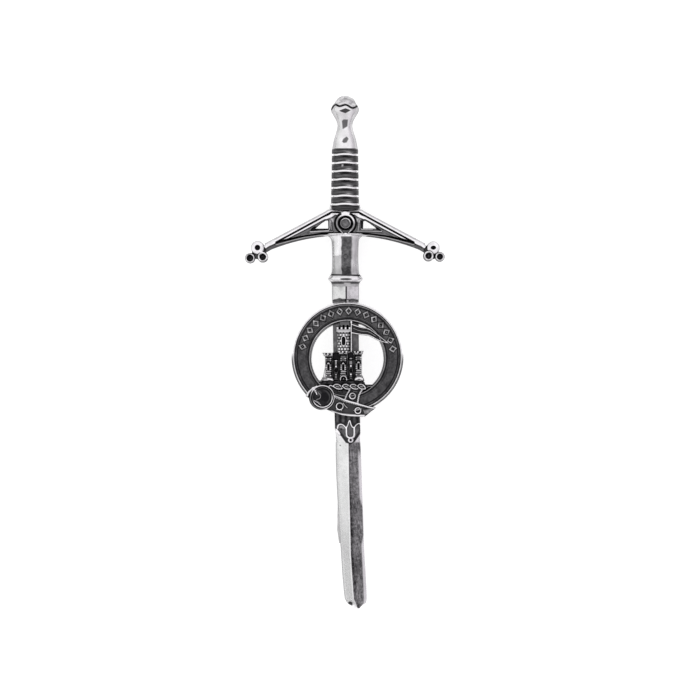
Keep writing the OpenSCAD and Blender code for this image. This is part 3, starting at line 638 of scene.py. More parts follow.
def paint_bands(r, off, nearest):
    """Patina of the ribs and of the wound bands between them, with painted highlights and painted shade."""
    x, y, d = r.x, r.y, np.abs(off)
    lines = np.sin(off * TURN / 0.36 + value_noise(x, y * 0, 1.2, 10))
    dark = tone(80) + 0.26 * bell(x, 0.1, 1.0) * ramp(off, -0.1, 0.35) * (1 - ramp(off, 0.65, 0.8))
    dark += 0.10 * (1 - ramp(d, 0.22, 0.42))
    # painted highlight streaks low in each band, right of the middle
    highlight_streak = bell(x, 0.75, 0.7) * bell(off, -0.42, 0.11)
    dark -= 0.62 * highlight_streak * ramp(value_noise(x * 0, nearest * 3.7, 1.0, 9), -0.9, 0.4)
    dark += 0.05 * value_noise(x * 0.3, y, 0.2, 12) - 0.08 * lines
    # painted glints
    glint = ramp(r.noise(0.3, 8), 0.78, 0.92) * (np.abs(x) < 1.4) * (np.abs(y - 35.6) < 2.0)
    dark = np.clip(dark, 0, 1) * (1 - 0.6 * glint)
    # the lowest band is one dark lens
    last = ramp(29.3 - y, 0, 0.1)
    dark = mix(dark, tone(64) - 0.08 * lines, last)
    black = ramp(d, 0.16, 0.27) * (1 - last * ramp(np.abs(x - 0.1), 2.6, 2.95))
    # bright ribs, with painted shade greying them towards the sides
    return mix(tone(244) + 0.12 * ramp(np.abs(x), 2.3, 2.9), dark, black)


def build_hilt():
    y = np.arange(TOP_Y, GUARD_TOP - 0.1, -0.058)
    at, wide, deep = np.array(POMMEL).T[:, ::-1]
    at = TOP_Y - POMMEL_LEN * at
    wide = soften(np.interp(y, at, POMMEL_W / 2 * wide), 3.2) * 1.02
    deep = soften(np.interp(y, at, POMMEL_T * deep), 3.2)
    on_grip = ramp(GRIP_TOP + 0.05 - y, 0, 0.16)
    down = (GRIP_TOP - y) / (GRIP_TOP - GUARD_TOP)
    grip_half = GRIP_W / 2 * (0.93 + 0.07 * down) - 0.09 + 0.30 * ramp(29.9 - y, 0, 1.2)
    z = 0.38 * (POMMEL_T - deep) * (1 - on_grip)
    w, t = mix(wide, grip_half, on_grip), mix(deep, GRIP_T - RIB_RISE, on_grip)
    rings = hilt_rings(y, 0 * y, w, t, z, 0.42, 0.2)
    n = normals(rings)
    r = Relief(rings[..., 0], rings[..., 1], 0, 0)
    x, y, on_grip = r.x, r.y, on_grip[:, None]
    front = ramp(n[..., 2], 0.02, 0.35)

    # ribs arch up a little at the middle
    arch = 0.14 * (1 - np.clip(np.abs(x) / 1.6, 0, 1) ** 2) * front
    from_top = (RIB_TOP + arch - y) / RIB_PITCH
    nearest = np.clip(np.round(from_top), 0, RIB_COUNT - 1)
    off = (from_top - nearest) * RIB_PITCH
    valley = np.clip(1 - ((np.abs(off) - RIB_PITCH / 2) / 0.5) ** 2, 0, 1)
    lift = on_grip * ((RIB_RISE + 0.02) * dome(off, RIB_HALF) + 0.12 * valley - 0.05) * (0.35 + 0.65 * front)

    r.groove(WAVE, 0.19, 0.26, 36)
    r.sink(r.polygon(DIAMOND), 0.26, 72)
    # shallow dents painted dark on the pommel's face
    for dark_patch in (DARK_DENT_HIGH, DARK_DENT_LOW):
        r.sink(r.polygon(dark_patch), 0.07, 104, 0.1)
    # hammered crown above the wave
    crown = ramp(y, 49.2, 49.8)
    lift = lift + r.h * front + crown * 0.10 * r.noise(0.8, 3) + 0.02 * r.noise(1.6, 4)
    # painted highlight: a lighter stripe right of the middle, low on the pommel's face
    base = tone(228) + 0.05 * r.noise(0.9, 6) - 0.09 * bell(x, 1.25, 0.45) * ramp(46 - y, 0, 1)
    patina_and_painted_light = mix(0.4, np.maximum(r.p, base), front)
    patina_and_painted_light += crown * 0.12 * ramp(value_noise(x + 3, y, 0.5, 5), 0.0, 0.8)
    # painted shade: grey along both sides, where the surface turns sideways
    patina_and_painted_light += (1 - ramp(n[..., 2], 0.40, 0.85)) * (1 - on_grip) * 0.22
    patina_and_painted_light = mix(patina_and_painted_light, paint_bands(r, off, nearest), on_grip)
    rings = rings + n * lift[..., None]
    # the foot is cut to a shallow curve
    x, y = rings[..., 0], rings[..., 1]
    y = y + ramp(29.4 - y, 0, 0.9) * 0.42 * (x / 3.2) ** 2
    rings[..., 1] = np.clip(y, GUARD_TOP - 0.14, TOP_Y)
    return skin("pommel_and_grip", rings, patina_and_painted_light, sword_pewter, 50)


# Guard

SHOULDER, ARM_TIP, ARM_HEEL = (3.5, 28.45), (16.05, 21.8), (15.15, 20.45)
ARCH_TOP, ARCH_R = 23.45, 39.8
BOSS = (0.1, 25.85)
GUARD_T, RING_T = 2.2, 2.5
# end rings: middle, radius, radius of the hole
RINGS = [
    (-17.48, 20.96, 1.34, 0.47), (-18.98, 18.86, 1.02, 0.62), (-16.44, 19.08, 1.08, 0.58),
    (17.66, 20.94, 1.30, 0.44), (16.70, 19.3, 1.08, 0.56), (18.96, 19.14, 0.98, 0.54)
]
GROOVE = [
    (0.42, 28.04), (2.68, 28.04), (13.75, 22.02), (12.8, 22.3), (9.34, 23.1), (4.74, 23.74), (0.96, 23.86)
]
INNER_RIM = [(2.75, 27.46), (4.5, 26.6), (5.8, 25.9), (8.1, 24.68), (12.4, 22.5)]
# by side, right first: windows, the light lines under and beside them, and sunk patches of painted shade in
# their narrow corners
WINDOWS = {
    1: [(3.62, 24.80), (6.3, 24.80), (5.85, 25.2), (5.0, 25.82), (4.1, 26.36), (3.7, 26.3)],
    -1: [(3.34, 24.80), (5.95, 24.80), (5.5, 25.2), (4.8, 25.80), (3.9, 26.40), (3.38, 26.42)],
}
FRAMES = {
    1: [([(3.2, 24.75), (3.4, 24.58), (4.2, 24.56), (5.5, 24.56)], 0.12, 196),
        ([(2.3, 24.26), (5.0, 24.26), (7.35, 24.20), (7.4, 24.42)], 0.11, 200)],
    -1: [([(3.05, 26.5), (3.02, 24.75), (3.3, 24.36), (5.2, 24.26), (7.0, 24.16)], 0.12, 196),
         ([(2.4, 24.2), (5.0, 24.1), (7.4, 23.9)], 0.11, 128)],
}
CORNER_SHADES = {
    1: [(5.85, 25.2), (6.3, 24.62), (7.2, 24.45), (6.6, 24.9)],
    -1: [(5.6, 25.0), (5.5, 24.5), (6.9, 24.36), (6.6, 24.8), (6.0, 25.2)],
}
LOWER_LINE = [(4.9, 23.92), (7.6, 23.62), (10.2, 23.04), (12.6, 22.4)]
LOWER_RIM = [(2.0, 23.56), (5.1, 23.44), (8.1, 23.04), (10.6, 22.42), (13.9, 21.52)]
STRIP = [(-3.4, 23.64), (3.4, 23.64), (4.7, 23.42), (3.9, 23.2), (-3.9, 23.2), (-4.4, 23.42)]


def upper_edge(ax, y):
    """Distance above the arm's upper edge, whose shoulder swells a little."""
    return np.maximum(slope_distance(ax, y, SHOULDER, ARM_TIP), y - GUARD_TOP) - 0.26 * bell(ax, 2.7, 0.7)


def lower_edge(ax, y):
    return ARCH_R - np.hypot(ax, y - (ARCH_TOP - ARCH_R))


def guard_outline(x, y):
    ax = np.abs(x)
    d = np.maximum(upper_edge(ax, y), slope_distance(ax, y, ARM_TIP, ARM_HEEL))
    d = np.maximum(d, lower_edge(ax, y))
    # neck from the arm to its end rings, and the web between the rings
    d = np.minimum(d, path_distance(ax, y, [(15.2, 21.2), (16.7, 20.3)]) - 0.72)
    d = np.minimum(d, disk_distance(ax, y, 17.6, 19.75, 1.05))
    for ring in RINGS:
        d = np.minimum(d, disk_distance(x, y, *ring[:3]))
    window = np.where(x > 0, polygon_distance(ax, y, WINDOWS[1]), polygon_distance(ax, y, WINDOWS[-1]))
    return np.maximum(d, -window)


def paint_arms(r, x, ax, y):
    """Borders, grooves and window frames of both arms, mirrored through r.x."""
    upper = upper_edge(ax, y)
    r.rise(-upper - 1.0, GUARD_T, 238, 0.1)
    r.h -= 0.22 * np.clip(1 + upper / 0.42, 0, 1) ** 2
    r.paint(-upper - 0.36, 196, 0.1)
    r.rise(r.polygon([(1.6, 27.75), (2.7, 27.8), (4.9, 26.6), (3.7, 26.6), (2.6, 27.0)]), GUARD_T - 0.04, 222)
    r.line(INNER_RIM, 0.24, GUARD_T - 0.02, 250)
    for side in (1, -1):
        off_side = np.where(x * side > 0, 0, AWAY)
        r.paint(r.polygon(WINDOWS[side]) - 0.06 + off_side, 96)
        # painted shade: a dark sunk patch in the window's narrow corner
        r.level(r.polygon(CORNER_SHADES[side]) + off_side, GUARD_T - 0.8, 36, 0.07)
        for line, half, grey in FRAMES[side]:
            r.rise(r.path(line) - half + off_side, GUARD_T - 0.14, grey, half)
    # painted shade: a dark sunk wall on the right window's left side, and a dark line under the left window
    r.level(r.box(3.24, 3.72, 24.86, 26.36) + AWAY * (x <= 0), GUARD_T - 0.9, 26, 0.07)
    r.level(r.path([(3.3, 24.68), (5.7, 24.66)]) - 0.07 + AWAY * (x >= 0), GUARD_T - 0.7, 44)
    r.line(LOWER_LINE, 0.09, GUARD_T - 0.3, 128)
    r.line(LOWER_RIM, 0.11, GUARD_T - 0.1, 164)
    post = r.path([(2.84, 26.3), (2.76, 25.4), (2.66, 24.6)]) - 0.24
    post = np.where(x > 0, post, post + 0.08)
    r.rise(post, GUARD_T - 0.2, 126)
    r.p += 0.10 * np.sin(y * TURN / 0.42) * (post < 0)
    r.paint(r.box(2.3, 3.15, 26.1, 26.8), 176, 0.2)
    r.groove(GROOVE, 0.13, 0.5, 40)
    r.p += 0.05 * np.sin((ax * 0.5 + y) * 14) * (r.p > 0.5) * (ax > 6.8) * (ax < 13)


def paint_boss(r):
    bx, by = r.x - BOSS[0], r.y - BOSS[1]
    d, away = np.hypot(bx, by), np.abs(np.arctan2(bx, by))
    # painted light: the rings are lighter towards the upper right, where lit is high
    lit = ramp((by + 0.35 * bx) / np.maximum(d, 0.1), 0.1, 0.95)
    open_top = 1 - ramp(away, math.radians(20), math.radians(32))
    open_low = ramp(away, math.radians(148), math.radians(160))

    def band(middle, inner, outer):
        return 1 - ramp(np.abs(d - middle), inner, outer)

    r.level(d - 2.3, GUARD_T - 0.35, 105)
    shade = tone(136) + 0.10 * (d < 1.7) - 0.58 * lit
    r.cover(band(1.72, 0.16, 0.30), GUARD_T - 0.12 + 0.2 * dome(d - 1.72, 0.3), shade)
    r.cover(band(2.12, 0.08, 0.19) * (1 - open_top) * (1 - open_low), r.h - 0.35, tone(40))
    r.cover(open_top * (1 - ramp(d, 2.3, 2.5)) * ramp(d, 1.5, 1.7), GUARD_T, tone(238))
    # the ring opens below and its ends turn outwards
    r.cover(open_low * (1 - ramp(d, 2.5, 2.7)) * ramp(d, 1.45, 1.6), GUARD_T - 0.3, tone(92))
    for side in (1, -1):
        end = path_distance(bx * side, by, [(1.15, -1.45), (0.62, -1.85), (0.72, -2.2)])
        r.rise(end - 0.12, GUARD_T, 200)
    r.cover(band(1.25, 0.09, 0.19), r.h - 0.4, tone(38))
    r.cover(band(0.96, 0.09, 0.16), GUARD_T + 0.1, tone(122) - 0.55 * lit)
    top = GUARD_T - 0.12 + 0.16 * (1 - (d / 0.9) ** 2)
    r.cover(1 - ramp(d, 0.80, 0.88), top, tone(98) + 0.10 * r.noise(0.25, 61))


def paint_arm_ends(r):
    """Painted light and shade at the arm's end: a lit upper half with a highlight, a shaded lower half, then
    painted shade in the neck and between the rings.
    """
    r.paint(r.polygon([(13.9, 21.75), (15.2, 21.3), (16.0, 20.7), (15.2, 20.2), (13.8, 20.9)]), 94, 0.12)
    r.line([(14.2, 22.3), (15.3, 21.78), (15.75, 21.3)], 0.3, GUARD_T, 226)
    r.line([(15.62, 21.35), (15.8, 20.9)], 0.1, GUARD_T, 240)
    r.level(r.path([(16.35, 22.0), (16.55, 21.2), (16.05, 20.4)]) - 0.26, 1.7, 82, 0.08)
    r.level(r.disk(17.7, 19.55, 1.25), 1.7, 90, 0.1)
    r.paint(r.disk(15.9, 20.45, 0.22), 58, 0.12)


def paint_end_rings(r, x, y):
    for cx, cy, radius, hole in RINGS:
        d, low, side = r.disk(cx, cy, radius), radius < 1.2, np.sign(cx)
        # painted light and shade: the tone turns with the angle, bright on top and outside, darker below
        lit = 0.5 + 0.5 * ((y - cy) * 0.86 + (x - cx) * side * 0.5) / np.maximum(d + radius, 0.05)
        r.rise(d, RING_T - 0.1 * low, None, 0.3)
        shade = 0.30 * (1 - ramp(lit, 0.1, 0.5)) if low else 0.05 * (1 - lit)
        r.tint(d, tone(232) + shade + 0.05 * r.noise(0.4, 64), -0.1, 0.02)
        r.paint(np.abs(d + 0.04) - 0.08, 96 if low else 186, 0.07)
        squash = 1.0 if low or side < 0 else 0.72
        inner = np.hypot(x - cx, (y - cy) / squash) - hole
        # painted shade: the lower rings are darker where they meet the upper one, with random mottling
        dark_patch = low * (0.42 * ramp(lit, 0.45, 0.9) + 0.3 * ramp(r.noise(0.45, 67), 0.05, 0.45))
        r.tint(np.abs(inner - 0.12) - 0.1, tone(250) + dark_patch, -0.06, 0.06)
        r.level(inner, 1.3, 44, 0.07)
        r.p += 0.10 * r.noise(0.25, 66) * (inner < 0)
        r.h += 0.05 * r.noise(0.6, 63) * (d < 0)
        if low:
            # painted glint along the lower edge of the hole
            glint = np.abs(r.disk(cx, cy, hole) - 0.02) + AWAY * (y > cy - hole * 0.3)
            r.paint(glint - 0.09, 214, 0.07)
    # thick bright arc on the left cluster's inner ring
    r.line(curve([(-16.9, 20.1), (-16.2, 19.9), (-15.62, 19.35), (-15.45, 18.8)], 4), 0.2, RING_T, 250)


def guard_relief(x, y):
    ax = np.abs(x)
    r = Relief(ax, y, GUARD_T - 0.42, tone(100))
    paint_arms(r, x, ax, y)
    r.darken(-lower_edge(ax, y), tone(92) * ramp(ax, 3.6, 4.6) * (ax < 15.2), 0.08, 0.26)
    paint_arm_ends(r)
    r.x = x
    paint_boss(r)
    # bright strip over the ricasso with a peak at its middle
    r.rise(r.polygon(STRIP), GUARD_T + 0.02, None, 0.1)
    r.tint(r.polygon(STRIP), tone(246) + 0.14 * ramp(x, 1.4, 3.2), -0.1, 0.05)
    r.rise(r.polygon([(-0.65, 23.5), (0.85, 23.5), (0.25, 23.98), (0.0, 23.98)]), GUARD_T + 0.02, 246, 0.1)
    # shade where the grip's foot stands on the guard
    r.p = np.maximum(r.p, tone(70) * ramp(y, 28.40, 28.46) * (ax < 1.6))
    paint_end_rings(r, x, y)
    return r.h, np.clip(r.p + 0.03 * r.noise(0.7, 65), 0, 1)


def build_guard():
    return sheet("guard", guard_outline, guard_relief, (-20.2, 20.2, 17.6, 28.6), 0.055, BACK_Z,
                 sword_pewter, edge=0.24, cavity=0.8, spread=0.15, rim_shade_grey=150, rim_shade_width=0.12)


# Ricasso and collar

# height on the sword, half width, share of depth
RICASSO = [
    (23.80, 3.60, 0.90), (23.45, 3.62, 0.92), (23.2, 3.30, 0.93), (22.9, 2.98, 0.94), (22.5, 2.78, 0.95),
    (22.0, 2.70, 0.95), (20.4, 2.64, 0.94), (18.2, 2.62, 0.93), (16.6, 2.68, 0.94), (15.9, 2.76, 0.95),
    (15.60, 2.90, 0.95), (15.30, 3.14, 0.98), (14.80, 3.50, 1.08), (14.66, 3.50, 1.08), (14.30, 3.16, 1.00),
    (14.10, 2.94, 0.90), (13.8, 2.78, 0.86), (13.20, 2.70, 0.82)
]
RICASSO_T = 2.6


def build_ricasso():
    y = np.arange(23.8, 13.2, -0.07)
    at, wide, deep = np.array(RICASSO).T[:, ::-1]
    w, t = soften(np.interp(y, at, wide), 1.3), soften(np.interp(y, at, RICASSO_T * deep), 1.3)
    t = np.where(y > 23.3, np.minimum(t, 2.1), t)
    rings = hilt_rings(y, drift(y), w, t, 0 * y, 0.36, 0.14)
    n = normals(rings)
    u = rings[..., 0] - drift(y)[:, None]
    # light left face, greyer in its lower half
    r = Relief(rings[..., 0], rings[..., 1], 0, tone(232))
    x, y = r.x, r.y
    blot, fine, broad = r.noise(0.5, 12), r.noise(0.2, 13), r.noise(1.5, 16)
    r.p += 0.05 * value_noise(x, y * 0.12, 0.22, 14)
    r.p += 0.20 * ramp(19.6 + 0.4 * blot - y, 0, 0.3) * (u < -0.7) + 0.10 * ramp(17.6 - y, 0, 1.5)
    # lilac right face: painted shade, a little darker and deeper in broad patches
    r.p += 0.06 * (u > 1.2) + 0.10 * ramp(u, 1.2, 1.35) * ramp(broad, -0.2, 0.6)
    # dark mottled middle
    left = -0.74 + 0.10 * value_noise(x * 0, y, 0.8, 11)
    right = 1.18 + 0.12 * value_noise(x * 0, y, 0.9, 17)
    centre = ramp(u, left - 0.1, left + 0.06) * (1 - ramp(u, right - 0.08, right + 0.28))
    mark = np.abs(r.disk(0.12, 19.15, 0.42))
    dark_patch = tone(88) + 0.07 * blot + 0.06 * fine + 0.08 * (1 - ramp(mark, 0.05, 0.16))
    dark_patch = dark_patch + 0.10 * ramp(17.3 - y, 0, 0.5)
    r.p = mix(r.p, dark_patch, centre * ramp(23.25 - y, 0, 0.1) * ramp(y, 15.2, 15.4))
    # dark lines at both edges and above the collar
    r.p = np.maximum(r.p, tone(150) * ramp(np.abs(u) / w[:, None], 0.86, 0.98))
    r.darken(np.abs(y - 15.48 + 0.03 * u), tone(66) + 0.16 * ramp(u, 1.2, 2.2), 0.10, 0.24)
    # collar: bright ridge with a dark spindle at its middle
    r.tint(np.abs(y - 14.72), tone(238) + 0.16 * ramp(np.abs(u), 2.2, 3.3), 0.45, 0.58)
    spindle = np.abs(y - 14.66) - 0.15 * dome(u - 0.1, 1.15)
    r.darken(spindle, tone(62) * (np.abs(u - 0.1) < 1.15), -0.02, 0.08)
    patch = ramp(y, 13.62, 13.75) * (ramp(-u, 0.1, 0.5) + ramp(u, 0.9, 1.2))
    r.p = mix(r.p, mix(tone(170), tone(92), np.clip(patch, 0, 1)) + 0.06 * blot, ramp(14.16 - y, 0, 0.08))
    r.darken(np.abs(y - 14.08), tone(44), 0.05, 0.14)
    front = ramp(n[..., 2], 0.02, 0.35)
    rings = rings + n * ((0.03 * blot * centre + 0.012 * fine) * front)[..., None]
    return skin("ricasso_and_collar", rings, mix(0.5, r.p, front), sword_pewter, 42)


# Blade

BLADE_W, BLADE_T = 5.3, 2.1
FLOWER_END = -18.15
LOWER_LEN = FLOWER_END - TIP_Y
# share of the way to the tip, of half width, of depth, ridge shift
LOWER = [
    (0.00, 0.93, 0.94, 0.02), (0.10, 0.96, 1.00, 0.00), (0.20, 0.97, 1.00, -0.03),
    (0.36, 0.95, 1.00, -0.06), (0.56, 0.91, 0.98, -0.13), (0.66, 0.89, 0.96, -0.19),
    (0.78, 0.89, 0.94, -0.19), (0.88, 0.87, 0.92, -0.19), (0.94, 0.84, 0.88, -0.20)
]
# columns of points between one corner of the blade's section and the next
COLUMNS = [4, 2, 2, 6, 30, 2, 30, 6, 2, 2, 4]


def blade_rows():
    """Rows of the section's measures: place, half width, depth, ridge, back, edges and cheeks."""
    half = BLADE_W / 2
    seat_end = BADGE_Y + BADGE_R + BADGE_DRAFT + 0.1

    def blade(y, w, t, ridge):
        return [y, drift(y), w, 0, t, 0.05 * w, ridge * w, 0.9 * w, 0.12 * t, 0.28 * t, 0.8 * w, 0.46 * t]

    def seat(y, w):
        t = SEAT_T
        return [y, drift(y), w, 0, t, 0.05 * w, 0, 0.9 * w, 0.15 * t, 0.8 * t, 0.93 * w, 0.97 * t]

    rows = [blade(y, half * 1.02, BLADE_T, 0.03) for y in (BLADE_TOP + 0.2, seat_end + 0.35)]
    rows += [seat(y, half * share) for y, share in (
        (seat_end, 1), (BADGE_Y + BADGE_R * 0.5, 0.98), (BADGE_Y - BADGE_R * 0.5, 0.97), (-16.0, 0.96))]
    rows += [blade(FLOWER_END - LOWER_LEN * at, half * w, BLADE_T * t, ridge) for at, w, t, ridge in LOWER]
    tip = float(drift(TIP_Y))
    rows.append([TIP_Y + LOWER_LEN * 0.032, tip + 0.02, BLADE_W * 0.37, 0.05, BLADE_T * 0.7,
                 0.1, -0.2, BLADE_W * 0.33, 0.2, 0.5, BLADE_W * 0.3, 0.8])
    rows.append([TIP_Y, tip + 0.25, 0.42, 0.1, BLADE_T * 0.4, 0.05, -0.05, 0.35, 0.2, 0.4, 0.3, 0.6])
    return np.array(rows, float)


# petals and leaves, each with its half width
FLOWER = [
    ([(0.34, -14.95), (0.56, -14.5), (0.93, -13.58), (1.2, -14.4), (1.5, -14.92), (1.84, -14.98)], 0.17),
    ([(0.30, -15.0), (0.30, -16.3), (0.44, -16.75), (0.80, -17.0), (1.45, -17.0), (1.78, -16.75),
      (1.86, -16.2), (1.84, -15.0)], 0.24),
    ([(0.3, -15.3), (0.0, -14.85), (-0.5, -14.42), (-1.05, -14.38), (-1.38, -14.65), (-1.46, -15.15)], 0.2),
    ([(1.86, -15.1), (2.15, -14.6), (2.6, -14.24), (3.0, -14.3), (3.2, -14.8)], 0.15),
]
LEAF = [(-1.95, -15.25), (-1.6, -15.3), (-1.1, -15.9), (-0.9, -16.4), (-1.15, -16.55), (-1.6, -16.1)]
PETAL_FIELD = [(0.45, -15.0), (0.93, -13.8), (1.7, -15.0), (1.7, -16.8), (0.45, -16.8)]
LEAF_FIELD = [(-1.2, -15.0), (-0.9, -14.6), (-0.3, -14.7), (0.1, -15.3), (-0.6, -15.3)]
BUD = (1.13, -17.5)
FLOWER_GROUND = [
    (-2.6, -12.0), (3.8, -12.0), (3.6, -15.0), (3.1, -16.2), (2.0, -17.85), (1.15, -18.3),
    (0.15, -18.0), (-0.85, -16.6), (-1.3, -16.3), (-2.1, -15.3), (-2.6, -15.2)
]
# where the painted highlight on the right slope's edge starts: length down the blade, share of half width
EDGE_AT, EDGE_FROM = [18, 19.5, 29, 31, 36.5, 38.5, 52], [0.90, 0.74, 0.76, 0.95, 0.95, 0.76, 0.70]


def paint_slopes(r, u, ridge, across, fine, blot):
    """Light left slope, and right slope darkened by patina and painted shade, below the flower."""
    x, y = r.x, r.y
    broad = value_noise(x, y * 0.5, 1.4, 23)
    scratch = value_noise(x + 0.15 * y, y * 0.15, 0.16, 27)
    lower = ramp(FLOWER_END + 0.4 - y, 0, 0.5)
    # left slope: light, with pits near the ridge and at both ends
    ends = ramp(y, -22, -18.5) + bell(y, -40.5, 2.5) + 0.6 * (1 - ramp(y, -50, -46))
    pits = ramp(fine, 0.45, 0.8) * np.clip(bell(ridge, -0.3, 0.3) * (0.2 + 0.8 * ends), 0, 1) * (ridge < 0)
    r.p += (0.24 * pits + 0.02 * blot + 0.02 * broad) * lower
    r.h -= 0.015 * pits * lower
    r.paint(r.disk(-0.96, -18.6, 0.13), 120)
    # right slope: dark from painted shade and patina, mottled and finely scratched, blackest by the ridge
    right = ramp(ridge, -0.03, 0.10) * lower
    dark = tone(122) + 0.11 * blot + 0.14 * fine + 0.08 * broad + 0.13 * scratch
    dark -= 0.16 * bell(y, -26.5, 3.5) * ramp(u, 0.4, 1.2) * ramp(scratch, -0.2, 0.5)
    line = 0.16 + 0.20 * (1 - ramp(y, -46, -38)) - 0.05 * ramp(y, -32, -26)
    dark += 0.22 * np.exp(-np.clip((ridge - line) / (line + 0.08), -9, 9) ** 2)
    # painted highlight along the right slope's outer edge
    at = np.interp(-y, EDGE_AT, EDGE_FROM)
    bevel = ramp(across, at - 0.04, at + 0.10) * ramp(-18.8 - y, 0, 3.6)
    r.p = mix(r.p, np.clip(dark, 0, 1), right * (1 - bevel))
    r.p = mix(r.p, tone(238) + 0.05 * broad, right * bevel)
    r.h += 0.02 * (fine + blot) * right * (1 - bevel)
    r.p = np.maximum(r.p, tone(176) * ramp(-across, 0.90, 0.99) * lower)


def paint_upper(r, u, ridge, across, blot):
    """Short stretch above the badge, and the flat seat behind it."""
    y = r.y
    upper = ramp(y, 9.9, 10.2)
    # painted shadow darkens the top of the left face, under the collar
    face = tone(226) + 0.04 * blot + 0.14 * bell(ridge, -0.9, 0.5) * ramp(y, 11.9, 13.0)
    face = mix(face, tone(242) + 0.10 * blot + 0.12 * bell(ridge, 0.7, 0.3), ramp(ridge, 0.0, 0.1))
    r.p = mix(r.p, face, upper)
    r.p = np.maximum(r.p, upper * tone(40) * bell(ridge, 0.06, 0.17, 4))
    hump = 10.7 + 0.30 * bell(u, -1.2, 0.6) + 0.18 * bell(u, 1.4, 0.6)
    foot = ramp(hump - y, 0, 0.2) * ramp(np.abs(ridge - 0.35), 0.1, 0.3)
    r.p = np.maximum(r.p, foot * upper * (tone(88) + 0.06 * blot))
    r.p = np.maximum(r.p, upper * tone(150) * ramp(np.abs(across), 0.93, 1.0))
    r.h -= 0.06 * upper * bell(ridge, 0.06, 0.12)
    r.p = mix(r.p, tone(96) + 0.05 * blot, ramp(10.25 - y, 0, 0.25) * ramp(y, -12.6, -12.2))


def paint_flower(r, blot):
    """Dark ground with purple-grey fields and black edges, and the flower on it."""
    x, y = r.x, r.y
    ground = r.polygon(FLOWER_GROUND) + AWAY * (y >= -11.9)
    r.level(ground, 0.0, 52, 0.08)
    r.h -= 0.12 * (1 - ramp(np.abs(ground + 0.12), 0.08, 0.2))
    fields = (1 - ramp(ground, -0.62, -0.42)) * (1 - ramp(y, -14.9, -14.4)) * ramp(np.abs(x - 1.1), 0.9, 1.0)
    r.p = mix(r.p, tone(90) + 0.05 * blot, fields * (ground < 0))
    waves = tone(60) + 0.12 * np.sin(x * 5.5 + 0.5) + 0.05 * blot
    r.p = mix(r.p, waves, ramp(y, -14.2, -13.8) * (ground < 0))
    rows = np.flatnonzero(((y < -12.2) & (y > -18.7)).any(1))
    part = slice(rows[0], rows[-1] + 1)
    b = Relief(x[part], y[part], 0, 0)
    b.h, b.p = r.h[part].copy(), r.p[part].copy()
    b.paint(b.polygon(PETAL_FIELD), 92)
    b.paint(b.polygon(LEAF_FIELD), 140, 0.1)
    b.paint(b.disk(-0.75, -15.35, 0.2), 48)
    for line, half in FLOWER:
        b.line(curve(line, 4), half, 0.34, 255)
    b.rise(b.polygon(LEAF) - 0.08, 0.26, 255, 0.2)
    b.line([(3.05, -15.1), (3.25, -15.4)], 0.09, 0.25, 220)
    b.rise(b.disk(*BUD, 0.6), 0.3, 255, 0.25)
    b.rise(b.box(0.62, 1.62, -17.1, -16.9), 0.3, 244, 0.1)
    b.sink(b.disk(*BUD, 0.2), 0.3, 60)
    r.h[part], r.p[part] = b.h, b.p


def build_blade():
    rows = blade_rows()
    y = np.concatenate([
        np.arange(rows[0][0], 9.6, -0.09), np.arange(9.6, -11.4, -0.42), np.arange(-11.4, -18.6, -0.058),
        np.arange(-18.6, TIP_Y + 2.2, -0.1), np.arange(TIP_Y + 2.2, TIP_Y, -0.07), [TIP_Y]])
    at, *measures = rows[::-1].T
    x, w, z, t, f, shift, back, low, high, cx, cz = (np.interp(y, at, m) for m in measures)
    x = np.where(y > -48, drift(y), x)
    smooth = y < -18.0
    for a in (w, t, shift, cx, cz):
        a[smooth] = soften(a[smooth], 2.0)
    corners = [
        (x, z), (x + back, z), (x + w, z + low), (x + w, z + high), (x + cx, z + cz), (x + shift + f, z + t),
        (x + shift - f, z + t), (x - cx, z + cz), (x - w, z + high), (x - w, z + low), (x - back, z)
    ]
    rings = np.stack([
        np.stack([mix(a[0], b[0], i / count), y, BACK_Z + mix(a[1], b[1], i / count)], 1)
        for a, b, count in zip(corners, corners[1:] + corners[:1], COLUMNS) for i in range(count)], 1)
    # worn creases
    for _ in range(2):
        deep = rings[..., 2]
        rings[..., 2] = (np.roll(deep, 1, 1) + 2 * deep + np.roll(deep, -1, 1)) / 4
    column = np.arange(rings.shape[1])
    start = sum(COLUMNS[:3])
    front = (column >= start) & (column <= start + sum(COLUMNS[3:8]))

    r = Relief(rings[..., 0], rings[..., 1], 0.0, tone(236))
    u = r.x - x[:, None]
    ridge, across = u - shift[:, None], u / w[:, None]
    fine, blot = r.noise(0.15, 21), r.noise(0.4, 22)
    paint_slopes(r, u, ridge, across, fine, blot)
    paint_upper(r, u, ridge, across, blot)
    paint_flower(r, blot)
    rings[..., 2] += r.h * front
    # painted shade of a notch between the tip's two ends, which has no shape of its own
    notch_shade = 0.85 * (1 - ramp(r.disk(1.05, -50.3, 0.42), -0.1, 0.2))
    return skin("blade", rings, np.maximum(np.where(front, r.p, 0.4), notch_shade), sword_pewter, 34)


# Badge

BAND_R = (BADGE_R + HOLE_R) / 2
FLOOR_T, RIM_T, RELIEF_T = 1.35, 1.7, 2.14
# row of lozenges: how many, over what angle and from where, half height and share of half width
LOZENGES, ROW_ANGLE, ROW_FROM, LOZENGE_H, LOZENGE_W = 15, math.radians(168), math.radians(4.5), 0.95, 0.94
CASTLE_FOOT = -4.757
